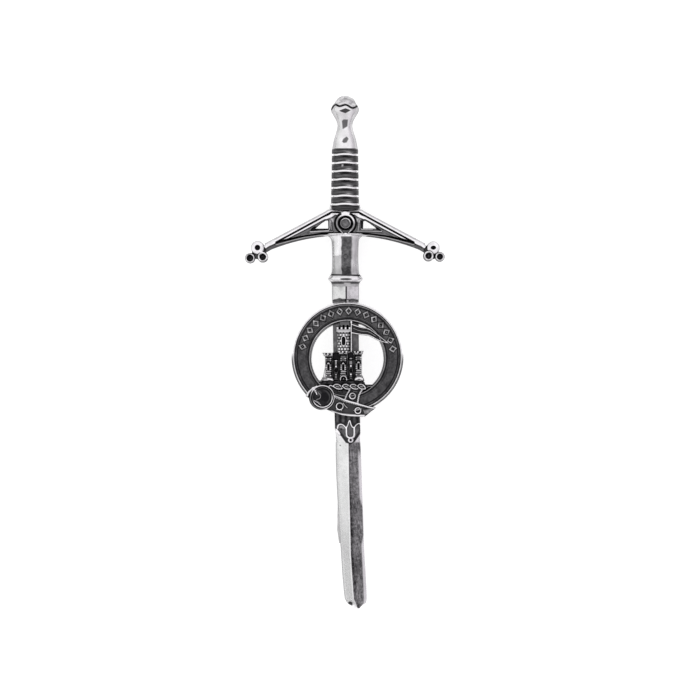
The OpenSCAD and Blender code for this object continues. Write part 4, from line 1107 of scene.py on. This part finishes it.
# middle, top, half width
TOWERS = [(-3.80, 0.84, 0.69), (-0.85, 1.28, 0.68), (2.20, 1.24, 0.68)]
LEFT_FOOT = [
    (-4.47, -1.6), (-4.66, -2.95), (-4.88, -3.85), (-5.18, -4.40), (-5.36, CASTLE_FOOT), (-2.74, CASTLE_FOOT),
    (-2.82, -4.35), (-3.15, -4.0)
]
RIGHT_FOOT = [
    (1.32, CASTLE_FOOT), (1.42, -4.35), (1.58, -4.02), (2.87, -3.5), (3.14, -4.10), (3.36, -4.50),
    (3.38, CASTLE_FOOT)
]
WALL = (-4.2, 2.6, -5.2, 0.35)
ARCHES = (-2.35, 0.62)
LEDGE = [(-6.3, -4.68), (3.15, -4.72), (3.42, -5.05), (3.62, -5.55), (-6.3, -5.55)]
# courses of a tower: height, blocks in the row, grey
COURSES = [
    (-0.30, 2, 208), (-0.68, 2, 150), (-1.46, 2, 130), (-1.80, 2, 168), (-2.13, 2, 230), (-2.47, 2, 208),
    (-2.90, 1, 176), (-3.30, 1, 160), (-3.72, 2, 226)
]
# raised marks down the middle of each curtain wall: bottom, top, half width, grey
CURTAINS = {
    -2.30: [(-1.60, -0.86, 0.24, 132), (-0.84, -0.62, 0.27, 244), (-2.08, -1.68, 0.20, 255),
            (-3.66, -3.36, 0.20, 176), (-4.30, -3.72, 0.26, 96)],
    0.68: [(-0.46, -0.12, 0.30, 150), (-1.50, -0.76, 0.33, 128), (-2.00, -1.56, 0.20, 255),
           (-3.68, -3.28, 0.21, 246), (-4.02, -3.76, 0.28, 120), (-4.40, -4.10, 0.2, 96)],
}
# links of the twisted wreath: middle and half length, and the outline of one
LINKS = [(-1.95, 0.92), (-0.22, 0.84), (1.30, 0.84), (2.80, 0.80)]
LINK = [
    (-0.96, 0.12), (-0.60, 0.43), (0.12, 0.45), (0.62, 0.14), (0.98, -0.32), (0.66, -0.45), (-0.08, -0.42),
    (-0.62, -0.16), (-0.96, 0.12)
]
KEEP_X, KEEP_HALF, KEEP_TOP = -0.78, 1.27, 6.04
KEEP_CAP = (KEEP_X - 1.5, KEEP_X + 1.5, KEEP_TOP - 1.0, KEEP_TOP)
STAFF_TOP = 7.6
STAFF = (0.52, 0.98, 0.7, STAFF_TOP)
PENNON = [
    (0.9, 6.64), (2.6, 6.04), (4.3, 5.7), (6.2, 4.4), (8.46, 2.6), (6.2, 3.2), (4.3, 4.2), (2.6, 4.4),
    (0.9, 4.7)
]
BUCKLE = (-5.14, -8.0)
BUCKLE_R = 2.58
# tongue and folds inside the buckle, from its middle: points, half width, grey
BUCKLE_LINES = [
    ([(-1.64, 1.64), (-1.36, 1.14), (-1.14, 0.64)], 0.16, 255), ([(-1.36, 1.62), (-1.05, 1.15)], 0.07, 170),
    ([(-0.88, 0.96), (-0.42, 0.52), (-0.40, 0.02), (-0.70, -0.28), (-1.16, -0.38)], 0.09, 166),
    ([(-1.62, -0.62), (-1.0, -1.0), (-0.34, -1.52)], 0.10, 214), ([(-1.24, -0.58), (-0.50, -1.14)], 0.07, 150)
]
STRAP_END = [
    (-8.35, -7.8), (-8.0, -6.95), (-7.0, -5.95), (-6.2, -5.75), (-6.4, -6.6), (-7.2, -7.6), (-7.7, -8.2)
]
TAIL = [
    (-4.2, -7.1), (-2.42, -7.6), (-0.3, -8.5), (2.04, -9.18), (4.36, -9.84), (5.62, -10.02), (5.4, -10.4),
    (4.8, -10.78), (4.1, -11.4), (3.4, -11.95), (0.6, -11.85), (-1.0, -11.62), (-2.6, -11.1), (-4.6, -10.3)
]
TAIL_END = [(3.0, -10.5), (4.6, -10.2), (5.3, -10.3), (4.7, -10.8), (4.0, -11.35), (3.4, -11.5)]
LOOP = [(0.4, -6.2), (3.25, -6.2), (2.6, -7.6), (2.3, -9.7), (-1.0, -9.0), (-0.4, -7.6)]


def tower_head(x, y, cx, top, half):
    left, right = (1.8, 1.42) if cx < -3 else (1.42, 1.52)
    return polygon_distance(x, y, [
        (cx - half * 1.2, top - 0.72), (cx + half * 1.2, top - 0.72),
        (cx + half * right, top), (cx - half * left, top)])


def tower_body(x, y, cx, top, half):
    return box_distance(x, y, cx - half, cx + half, CASTLE_FOOT, top - 0.3)


def curtain_arch(x, y, cx, radius):
    return np.maximum(path_distance(x, y, [(cx, -0.6), (cx, 0.35)]) - radius, -0.55 - y)


def keep_outline(x, y):
    d = box_distance(x, y, KEEP_X - KEEP_HALF, KEEP_X + KEEP_HALF, 0.2, KEEP_TOP - 0.4)
    return np.minimum(d, box_distance(x, y, *KEEP_CAP))


def castle_outline(x, y):
    x, y = x - BADGE_X, y - BADGE_Y
    r = np.hypot(x, y)
    above_keep = (KEEP_X - 0.76, KEEP_X + KEEP_HALF, KEEP_TOP - 0.6, STAFF_TOP)
    return np.minimum.reduce([
        np.maximum(r - HOLE_R - 0.15, y + 5.50), np.maximum(polygon_distance(x, y, LEDGE), r - HOLE_R - 0.1),
        *(part(x, y, *tower) for tower in TOWERS for part in (tower_body, tower_head)),
        *(curtain_arch(x, y, cx, 0.78) for cx in ARCHES), keep_outline(x, y),
        *(polygon_distance(x, y, points) for points in (LEFT_FOOT, RIGHT_FOOT, PENNON)),
        *(box_distance(x, y, *box) for box in (WALL, STAFF, above_keep))])


def buckle_disk(x, y):
    return np.minimum(disk_distance(x, y, *BUCKLE, BUCKLE_R), polygon_distance(x, y, STRAP_END))


def buckle_outline(x, y):
    x, y = x - BADGE_X, y - BADGE_Y
    d = np.minimum(polygon_distance(x, y, LOOP), polygon_distance(x, y, TAIL))
    return np.minimum(d, buckle_disk(x, y))


def hole_edge(angle):
    """Radius of the inner rim's edge: the hole sits a little low in the ring."""
    return HOLE_R - 0.10 - 0.22 * np.sin(angle)


def band_relief(x, y, rad, angle):
    """Flat strap between two doubled rims, with a row of raised lozenges. Painted light makes the rims
    lighter on the ring's upper half.
    """
    # above: upper half of the ring, where the rims get painted light
    above = ramp(np.sin(angle), 0.1, 0.6)
    inner = hole_edge(angle)
    r = Relief(x, y, FLOOR_T, 0)
    r.p = tone(72) + 0.05 * ramp(np.abs(rad - BAND_R), 0.8, 1.5)
    for radius, half, grey in ((BADGE_R - 0.12, 0.12, 220), (inner + 0.12, 0.11, 158)):
        r.rise(np.abs(rad - radius) - half, RIM_T, None, half)
        r.tint(np.abs(rad - radius), tone(grey) - 0.20 * above, half - 0.02, half + 0.03)
    for radius, grey in ((BADGE_R - 0.46, 160), (inner + 0.84, 112)):
        r.rise(np.abs(rad - radius) - 0.08, FLOOR_T + 0.1 + 0.15 * above, None, 0.1)
        r.tint(np.abs(rad - radius), mix(tone(72), tone(grey), above), 0.06, 0.14)
    dark_lines = ((BADGE_R - 0.82, 0.17, 20), (inner + 0.44, 0.16, 20), (BADGE_R - 0.29, 0.04, 34))
    for radius, half, grey in dark_lines:
        r.darken(np.abs(rad - radius), tone(grey), half * 0.5, half * 1.5)
    pitch = ROW_ANGLE / LOZENGES
    half_w = BAND_R * math.sin(pitch / 2) * LOZENGE_W
    middle = ROW_FROM + (np.clip(np.floor((angle - ROW_FROM) / pitch), 0, LOZENGES - 1) + 0.5) * pitch
    u = x * np.cos(middle) + y * np.sin(middle) - BAND_R
    v = -x * np.sin(middle) + y * np.cos(middle)
    edge = np.abs(u) / LOZENGE_H + np.abs(v) / half_w - 1
    edge = edge * LOZENGE_H * half_w / math.hypot(LOZENGE_H, half_w)
    worn = tone(144) + 0.24 * r.noise(0.45, 71)
    for d, top in ((np.abs(edge + 0.21) - 0.19, 0.28), (np.hypot(u, v) - 0.13, 0.26)):
        r.darken(d, tone(34), 0.06, 0.2)
        r.rise(d, FLOOR_T + top, None, 0.16)
        r.tint(d, worn, -0.08, 0.03)
    r.h += 0.015 * r.noise(0.5, 51)
    r.p += 0.05 * r.noise(0.8, 52) + 0.05 * r.noise(0.26, 57)
    return r


def build_strap():
    """Strap ring, on rows that follow its rims and its sloping sides."""
    count = 960
    rad = BADGE_R - np.concatenate([
        [0, 0.012, 0.03], np.arange(0.06, 0.90, 0.036), np.arange(0.90, 2.30, 0.060),
        np.arange(2.30, 3.26, 0.036), [3.27, 3.288, 3.3]])
    rad, angle = np.meshgrid(rad, np.arange(count) / count * TURN, indexing="ij")
    rad = rad + (hole_edge(angle) - HOLE_R) * ramp(BADGE_R - rad, 1.7, 2.3)
    x, y = rad * np.cos(angle), rad * np.sin(angle)
    r = band_relief(x, y, rad, angle)
    border = np.clip(1 - np.minimum(BADGE_R - rad, rad - hole_edge(angle)) / 0.1, 0, 1)
    r.h -= 0.12 * (1 - np.sqrt(1 - border ** 2))
    rows = [np.stack([BADGE_X + x, BADGE_Y + y, BADGE_Z + r.h], 2)]
    shades = [r.p]
    # sides: painted light where they face +y, painted shade where they face -y
    turn = angle[:1]
    down = 1 - ramp(np.sin(turn), -0.12, 0.12)
    depths = (0.03, 0.3, 0.6, 0.85, 1.0)
    sides = [(hole_edge(turn) - (BADGE_DRAFT - 0.05) * k, k, mix(104, 250 if k > 0.7 else 34, down))
             for k in depths]
    sides += [(BADGE_R + BADGE_DRAFT * k, k, mix(255, 34, down)) for k in depths[::-1]]
    for radius, k, grey in sides:
        z = np.full_like(turn, BADGE_Z + max(RIM_T * (1 - k) - 0.14 * (k < 0.1), 0.02))
        rows.append(np.stack([BADGE_X + radius * np.cos(turn), BADGE_Y + radius * np.sin(turn), z], 2))
        shades.append(tone(grey))
    grid = np.concatenate(rows)
    i, j = np.meshgrid(np.arange(len(grid)) * count, np.arange(count), indexing="ij")
    i2, j2 = (i + count) % (len(grid) * count), (j + 1) % count
    faces = np.stack([i + j, i2 + j, i2 + j2, i + j2], 2).reshape(-1, 4).tolist()
    patina_and_painted_light = np.concatenate(shades).ravel()
    return make_object("badge_strap", grid.reshape(-1, 3), faces, patina_and_painted_light, badge_pewter, 75)


def paint_tower(r, cx, top, half):
    x, y = r.x, r.y
    u, lift = x - cx, 0.2 * (cx > 0)
    body = tower_body(x, y, cx, top, half)
    r.rise(body, 1.85, 84, 0.3)
    r.h = np.where(body < 0, r.h - 0.2 * ramp(np.abs(u), 0.35, half), r.h)
    out = np.sign(cx + 0.85) if abs(cx + 0.85) > 1 else 0
    if out:
        side = 1 - ramp(np.abs(u - (half - 0.08) * out), 0.05, 0.16)
        r.p = mix(r.p, tone(168), side * (body < 0))
    for k, (level, blocks, grey) in enumerate(COURSES):
        for j in (-1, 1)[:blocks]:
            middle, wide = (0.43 * j, 0.19) if blocks > 1 else (0.06 * (-1) ** k, 0.56)
            worn = grey - 44 * ((k * 5 + j * 3 + int(cx * 7)) % 4 == 0)
            sides = (middle - wide, middle + wide, level + lift - 0.13, level + lift + 0.13)
            r.rise(box_distance(u, y, *sides), 2.0, worn, 0.07)
    # arched window: dark hollow, bright hood and a long slit under it
    sill = -1.36 + lift
    arch = np.hypot(u, y - sill)
    r.level(np.maximum(arch - 0.52, sill - 0.08 - y), 1.4, 24, 0.04)
    r.rise(np.maximum(np.abs(arch - 0.16) - 0.12, sill - 0.1 - y), 2.04, 226, 0.09)
    slit = path_distance(u, y, [(0, sill - 0.26), (0, sill - 1.14)])
    r.rise(np.abs(slit - 0.25) - 0.08, 1.98, 150, 0.08)
    r.level(slit - 0.16, 1.2, 26, 0.05)
    # head with worn merlons, and a sunk line under it painted dark as the head's shadow
    r.rise(tower_head(x, y, cx, top, half), 1.95, 146, 0.14)
    r.level(r.box(cx - half, cx + half, top - 0.98, top - 0.74), 1.5, 34, 0.05)
    r.line([(cx - half * 1.1, top - 0.62), (cx + half * 1.1, top - 0.62)], 0.1, 2.08, 196)
    for k, grey in ((-1.15, 214), (-0.2, 255), (0.95, 214)):
        lump = np.hypot((u - k * half) / 0.24, (y - top + 0.24) / 0.2) - 1
        r.rise(lump * 0.2, 2.1, grey)
    for k, drop in ((-0.62, 0.2), (0.42, 0.3)):
        r.sink(r.disk(cx + k * half, top - drop, 0.12), 0.4, 44, 0.07)
    r.sink(r.disk(cx + 0.05, top - 0.52, 0.09), 0.25, 50)


def paint_feet(r):
    """Spread feet of the outer towers, light and lumpy."""
    x, y = r.x, r.y
    left, right = (np.where(y < -1.7, r.polygon(foot), AWAY) for foot in (LEFT_FOOT, RIGHT_FOOT))
    flank = ramp(-4.40 - 0.25 * ramp(-y, 3.6, 4.6) - x, -0.05, 0.05)
    r.rise(np.where(x < -4.3, left, AWAY), 1.75, None, 0.2)
    r.p = np.where(left < 0, mix(r.p, mix(tone(206), tone(124), ramp(-y, 3.6, 4.5)), flank), r.p)
    left, right = np.maximum(left, y + 4.12), np.maximum(right, y + 3.86)
    r.rise(left, 1.85, 124, 0.15)
    r.lines(1.98, ([(-4.7, -4.60), (-3.9, -4.58)], 0.14, 208),
            ([(-3.9, -4.36), (-3.3, -4.46), (-2.95, -4.62)], 0.19, 255))
    r.rise(right, 1.85, 140, 0.18)
    r.lines(1.98, ([(1.62, -4.42), (2.1, -4.2), (2.7, -4.22), (2.98, -4.36)], 0.23, 255),
            ([(2.3, -4.66), (3.1, -4.62)], 0.11, 196))
    r.sink(r.disk(2.32, -4.50, 0.10), 0.15, 96, 0.07)
    r.p = np.where(np.minimum(left, right) < 0, r.p + 0.04 + 0.12 * r.noise(0.32, 61), r.p)


def paint_walls(r):
    """Curtain walls, towers and door."""
    x, y = r.x, r.y
    wall = r.box(*WALL)
    r.level(wall, 1.1, 62)
    r.p = np.where(wall < 0, r.p + 0.12 * r.noise(0.4, 63), r.p)
    for cx, top, grey in ((ARCHES[1], 1.6, 150), (ARCHES[0], 1.4, 84)):
        r.rise(curtain_arch(x, y, cx, 0.78), top, grey, 0.15)
    for cx in ARCHES:
        r.level(curtain_arch(x, y, cx, 0.56), 0.9, 16)
    for cx, marks in CURTAINS.items():
        r.rise(r.box(cx - 0.42, cx + 0.42, -4.6, -0.5), 1.42, 80, 0.15)
        for low, high, half, grey in marks:
            r.rise(r.box(cx - half, cx + half, low, high), 1.66, grey, 0.08)
        oval = np.hypot((x - cx) / 0.56, y + 2.68) - 0.46
        r.rise(np.abs(oval - 0.06) - 0.08, 1.6, 110, 0.08)
        r.level(oval + 0.02, 0.95, 20)
    for tower in TOWERS:
        paint_tower(r, *tower)
    paint_feet(r)
    arch = r.path([(-0.80, -5.2), (-0.80, -4.36)])
    r.level(np.maximum(arch - 0.78, -4.72 - y), 1.5, 44)
    r.rise(np.maximum(np.abs(arch - 0.60) - 0.13, -4.72 - y), 2.05, 250)
    r.level(np.maximum(arch - 0.46, -4.72 - y), 1.25, 30)
    r.line([(-0.12, -4.44), (0.12, -4.58)], 0.1, 1.9, 208)
    r.rise(r.disk(-0.78, -4.38, 0.17), 1.55, 176, 0.15)


def paint_wreath(r):
    """Ledge, and a twisted wreath whose slanting links are bright loops round grey cores."""
    r.level(r.box(-6.3, 5.3, -5.5, -4.78), 1.3, 50)
    r.p = np.where((r.y < -4.78) & (r.y > -6.6), r.p + 0.14 * r.noise(0.34, 62), r.p)
    r.line([(-5.9, -4.86), (-5.0, -4.84)], 0.09, 1.6, 170)
    r.line(curve([(3.7, -6.2), (4.1, -5.95), (4.7, -5.85), (5.2, -6.0)], 4), 0.1, 1.6, 142)
    for cx, long in LINKS:
        loop = curve([(cx + u * long, -5.92 + v) for u, v in LINK], 3)
        inside = r.polygon(loop[:-1])
        r.level(inside - 0.24, 1.5, 34, 0.04)
        r.rise(r.path(loop) - 0.14, 2.0, 255, 0.13)
        r.level(inside + 0.17, 1.62, 120)
        r.line([(cx - 0.42 * long, -5.80), (cx + 0.42 * long, -6.02)], 0.07, 1.92, 236)
    r.line(curve([(-3.75, -5.92), (-3.42, -5.66), (-3.05, -5.80), (-2.75, -6.0)], 4), 0.15, 1.9, 250)


def paint_keep(r):
    x, y = r.x, r.y
    body, u = keep_outline(x, y), x - KEEP_X
    r.rise(body, 1.72, 150, 0.2)
    r.level(r.box(KEEP_X - 0.76, KEEP_X + KEEP_HALF, KEEP_TOP - 0.3, STAFF_TOP), 1.2, 92)
    r.h = np.where(body < 0, r.h - 0.25 * ramp(np.abs(u), 0.7, KEEP_HALF), r.h)
    # stones, shifted by half in every second course
    course = (y - 1.3) / 0.56
    row = np.floor(course)
    shifted = u / 0.62 + 0.5 * (row % 2)
    joint = (np.abs(course - row - 0.5) > 0.34) | (np.abs(shifted - np.round(shifted)) < 0.14)
    area = (body < -0.05) & (y > 1.3) & (y < KEEP_TOP - 1.1)
    r.h = np.where(area & ~joint, r.h + 0.12, r.h)
    r.p = np.where(area, np.where(joint, tone(60), tone(206) + 0.16 * r.noise(0.5, 31)), r.p)
    slit = r.path([(KEEP_X, 2.7), (KEEP_X, 3.7)])
    r.rise(np.abs(slit - 0.42) - 0.12, 1.95, 246)
    r.level(slit - 0.29, 1.1, 34)
    r.rise(r.box(*KEEP_CAP), 1.85, 180, 0.16)
    r.line([(KEEP_X - 1.42, KEEP_TOP - 0.92), (KEEP_X + 1.42, KEEP_TOP - 0.92)], 0.13, 1.98, 246)
    for k in range(4):
        mx = KEEP_X - 1.2 + k * 0.8
        r.rise(r.box(mx - 0.2, mx + 0.2, KEEP_TOP - 0.5, KEEP_TOP - 0.04), 2.0, 244)
        if k:
            r.sink(r.box(mx - 0.54, mx - 0.26, KEEP_TOP - 0.5, KEEP_TOP + 0.3), 0.7, 40, 0.05)
    # staff and pennon
    r.rise(r.box(*STAFF), 1.5, 100)
    r.line([(0.76, 0.9), (0.76, 7.2)], 0.14, 1.95, 236)
    r.level(r.polygon(PENNON), 1.68, 56)
    r.lines(2.0, ([(0.9, 6.5), (2.6, 5.94), (4.3, 5.58), (6.2, 4.3), (8.3, 2.66)], 0.15, 246),
            ([(0.9, 4.84), (2.6, 4.52), (4.3, 4.3), (6.2, 3.34), (8.3, 2.66)], 0.16, 250), steps=5)
    r.lines(1.85, ([(1.2, 5.7), (2.6, 5.2), (4.2, 5.0), (5.6, 4.2)], 0.1, 150), steps=5)
    r.rise(r.disk(0.76, 6.95, 0.3), 2.0, 240, 0.25)


def paint_buckle(r):
    bx, by = BUCKLE[0] + 0.15, BUCKLE[1] - 0.06
    u, v = r.x - bx, r.y - by
    d, away = np.hypot(u, v), np.arctan2(v, u)
    # dark side, outer lip with painted shade at the lower left, dark gap, and inner lip with painted light,
    # brightest low down
    r.rise(d - 2.66, 1.62, 64, 0.2)
    lower_left_shade = ramp(np.cos(away - math.radians(215)), 0.35, 0.85)
    r.rise(np.abs(d - 2.36) - 0.16, 2.12, None, 0.15)
    r.tint(np.abs(d - 2.36), mix(tone(214), tone(84), lower_left_shade), 0.10, 0.18)
    r.tint(np.abs(d - 2.15), tone(20), 0.05, 0.12)
    lit = ramp(np.cos(away + math.radians(72)), -0.35, 0.55)
    r.rise(np.abs(d - 1.95) - 0.15, 2.05, None, 0.14)
    r.tint(np.abs(d - 1.95), mix(tone(60), tone(255), lit), 0.10, 0.17)
    # hollow, darkest at the right, purple-grey at the upper left
    r.level(d - 1.78, 1.76, 40, 0.08)
    r.paint(disk_distance(u, v, 0.45, 0.05, 0.75), 18, 0.3)
    r.paint(disk_distance(u, v, -0.75, 0.85, 0.5), 76, 0.25)
    arcs = np.abs(d - 1.42) - 0.05
    r.p = mix(r.p, tone(66), (1 - ramp(arcs, 0.0, 0.1)) * ramp(np.cos(away - math.radians(10)), 0.2, 0.7))
    for points, half, grey in BUCKLE_LINES:
        r.line(curve([(bx + a, by + b) for a, b in points], 4), half, 1.9, grey)
    # strap end wrapped over the ring
    wrap = path_distance(u, v, curve([(-3.04, 0.40), (-2.72, 1.12), (-1.98, 1.84), (-1.2, 2.2)], 4))
    r.rise(wrap - 0.27, RELIEF_T, None, 0.2)
    r.tint(wrap, tone(206) + 0.16 * r.noise(0.3, 81), 0.16, 0.29)


def paint_eyelet(r, cx, cy, radius, grey):
    top, x, y = 1.95, r.x - cx, r.y - cy
    d = np.hypot(x, y) - radius
    r.level(d - 0.12, top - 0.3, 52)
    # painted light: the ring is lighter towards the lower left
    lit = 0.5 - 0.5 * np.sin(np.arctan2(y, x) + 0.6)
    r.rise(np.abs(d + 0.15) - 0.16, top, None, 0.15)
    r.tint(np.abs(d + 0.15), tone(grey) - 0.30 * lit, 0.08, 0.19)
    r.level(d + 0.32, top - 0.4, 40, 0.05)


def rope(r, points, half, top, grey, pitch, lean):
    """Raised cord with slanting strands."""
    d = r.path(points)
    ax, ay = points[-1][0] - points[0][0], points[-1][1] - points[0][1]
    long = math.hypot(ax, ay)
    along, across = (r.x * ax + r.y * ay) / long, (r.y * ax - r.x * ay) / long
    twist = 0.5 + 0.5 * np.sin((along + lean * across) * TURN / pitch)
    r.rise(d - half, top, None, half * 0.9)
    on = 1 - ramp(d, half * 0.65, half * 1.1)
    r.p = mix(r.p, tone(grey) + 0.34 * twist, on)
    r.h = r.h - 0.07 * twist * on


def paint_tail(r):
    far = -r.disk(*BUCKLE, BUCKLE_R)
    r.level(np.maximum(r.polygon(TAIL), far), 1.72, 62)
    t = r.copy()
    rope(t, [(-2.6, -7.98), (-0.3, -8.90), (2.0, -9.50), (4.2, -10.08)], 0.2, 1.98, 196, 0.5, 1.4)
    upper = t.path(curve([(-2.5, -7.74), (-0.3, -8.66), (2.04, -9.33), (4.3, -9.98), (5.5, -10.16)], 5))
    t.rise(upper - 0.19, 2.08, None, 0.17)
    t.tint(upper, tone(216) - 0.24 * ramp(t.x, -1.5, 2.5), 0.13, 0.21)
    t.line([(-2.35, -7.9), (-1.6, -8.3), (-0.9, -8.9)], 0.09, 1.8, 120)
    t.line(curve([(-3.2, -10.75), (-1.6, -11.26), (0.8, -11.52), (3.3, -11.6)], 5), 0.26, 1.95, 140)
    t.line(curve([(-3.0, -10.94), (-1.6, -11.38), (0.8, -11.68), (3.3, -11.74)], 5), 0.22, 2.05, 255)
    end = t.polygon(TAIL_END)
    t.rise(end, 1.9, 150, 0.2)
    t.p = np.where(end < 0, t.p + 0.22 * t.noise(0.4, 82), t.p)
    t.lines(1.95, ([(3.3, -10.62), (4.6, -10.46)], 0.08, 90), ([(3.2, -11.2), (4.1, -11.16)], 0.08, 80))
    paint_eyelet(t, -1.55, -9.84, 0.82, 176)
    t.line(curve([(-0.85, -9.2), (-0.45, -9.75), (-0.05, -10.15)], 4), 0.13, 1.95, 176)
    paint_eyelet(t, 2.08, -10.70, 0.72, 196)
    r.blend(t, 1 - ramp(far, -0.03, 0.03))


def paint_loop(r):
    r.level(r.polygon(LOOP), 1.72, 46)
    rope(r, [(0.42, -6.6), (-0.1, -7.4), (-0.55, -8.5)], 0.2, 1.95, 226, 0.45, 1.2)
    rope(r, [(2.92, -6.5), (2.3, -7.6), (1.98, -9.3)], 0.22, 1.98, 232, 0.5, 1.2)
    r.line([(1.1, -6.9), (1.95, -6.95)], 0.07, 1.85, 136)
    paint_eyelet(r, 1.0, -7.78, 0.72, 170)


def castle_relief(x, y):
    r = Relief(x - BADGE_X, y - BADGE_Y, 1.1, tone(50))
    r.line([(-1.9, -6.9), (-1.2, -7.0)], 0.16, 1.3, 84)
    paint_keep(r)
    paint_walls(r)
    paint_wreath(r)
    return np.minimum(r.h + 0.012 * r.noise(0.5, 53), RELIEF_T), r.p + 0.03 * r.noise(0.9, 54)


def buckle_relief(x, y):
    r = Relief(x - BADGE_X, y - BADGE_Y, 1.72, tone(60))
    paint_loop(r)
    paint_tail(r)
    b = r.copy()
    paint_buckle(b)
    r.blend(b, 1 - ramp(buckle_disk(r.x, r.y), -0.03, 0.03))
    return np.minimum(r.h + 0.012 * r.noise(0.5, 55), RELIEF_T), r.p + 0.03 * r.noise(0.9, 56)


def build_badge():
    castle = sheet("badge_castle", castle_outline, castle_relief, (-6.9, 9.3, -9.1, 6.9), 0.055, BADGE_Z,
                   badge_pewter, edge=0.12, cavity=0.9, spread=0.12, rim_shade_grey=110, rim_shade_width=0.1)
    buckle = sheet("badge_buckle", buckle_outline, buckle_relief, (-8.2, 6.4, -13.1, -6.15), 0.05, BADGE_Z,
                   badge_pewter, edge=0.14, cavity=0.9, spread=0.12, rim_shade_grey=80, rim_shade_width=0.1)
    return [build_strap(), castle, buckle]


# height and radius of the stud on the badge's back, which is peened over in the blade's bore
STUD = [(6.42, 0.8), (6.46, 0.98), (6.55, 1.1), (7.0, 1.1), (7.9, 1.1), (7.95, 1.0)]
STUD_Y, STUD_SIDES = -2.81, 48


def build_stud():
    angle = np.linspace(0, TURN, STUD_SIDES + 1)[:-1]
    x, y = float(drift(STUD_Y)), STUD_Y
    rings = np.stack([
        np.stack([x + r * np.cos(angle), y - r * np.sin(angle), np.full(STUD_SIDES, z)], 1) for z, r in STUD])
    return skin("badge_stud", rings, np.full(rings.shape[:2], 0.45), badge_pewter, 40)


# The whole pin

pieces = {
    "sword": [build_hilt(), build_guard(), build_ricasso(), build_blade()],
    "crest_badge": [*build_badge(), build_stud()],
}
for node, objs in pieces.items():
    for obj in objs:
        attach(obj, "root")
        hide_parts(node)

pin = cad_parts["brooch_pin"]
for slot in pin.material_slots:
    slot.material = steel
if not pin.material_slots:
    pin.data.materials.append(steel)
bevel = pin.modifiers.new("soft_edges", "BEVEL")
bevel.width, bevel.segments = 0.06 * MM, 2
bevel.limit_method, bevel.angle_limit = "ANGLE", math.radians(35)
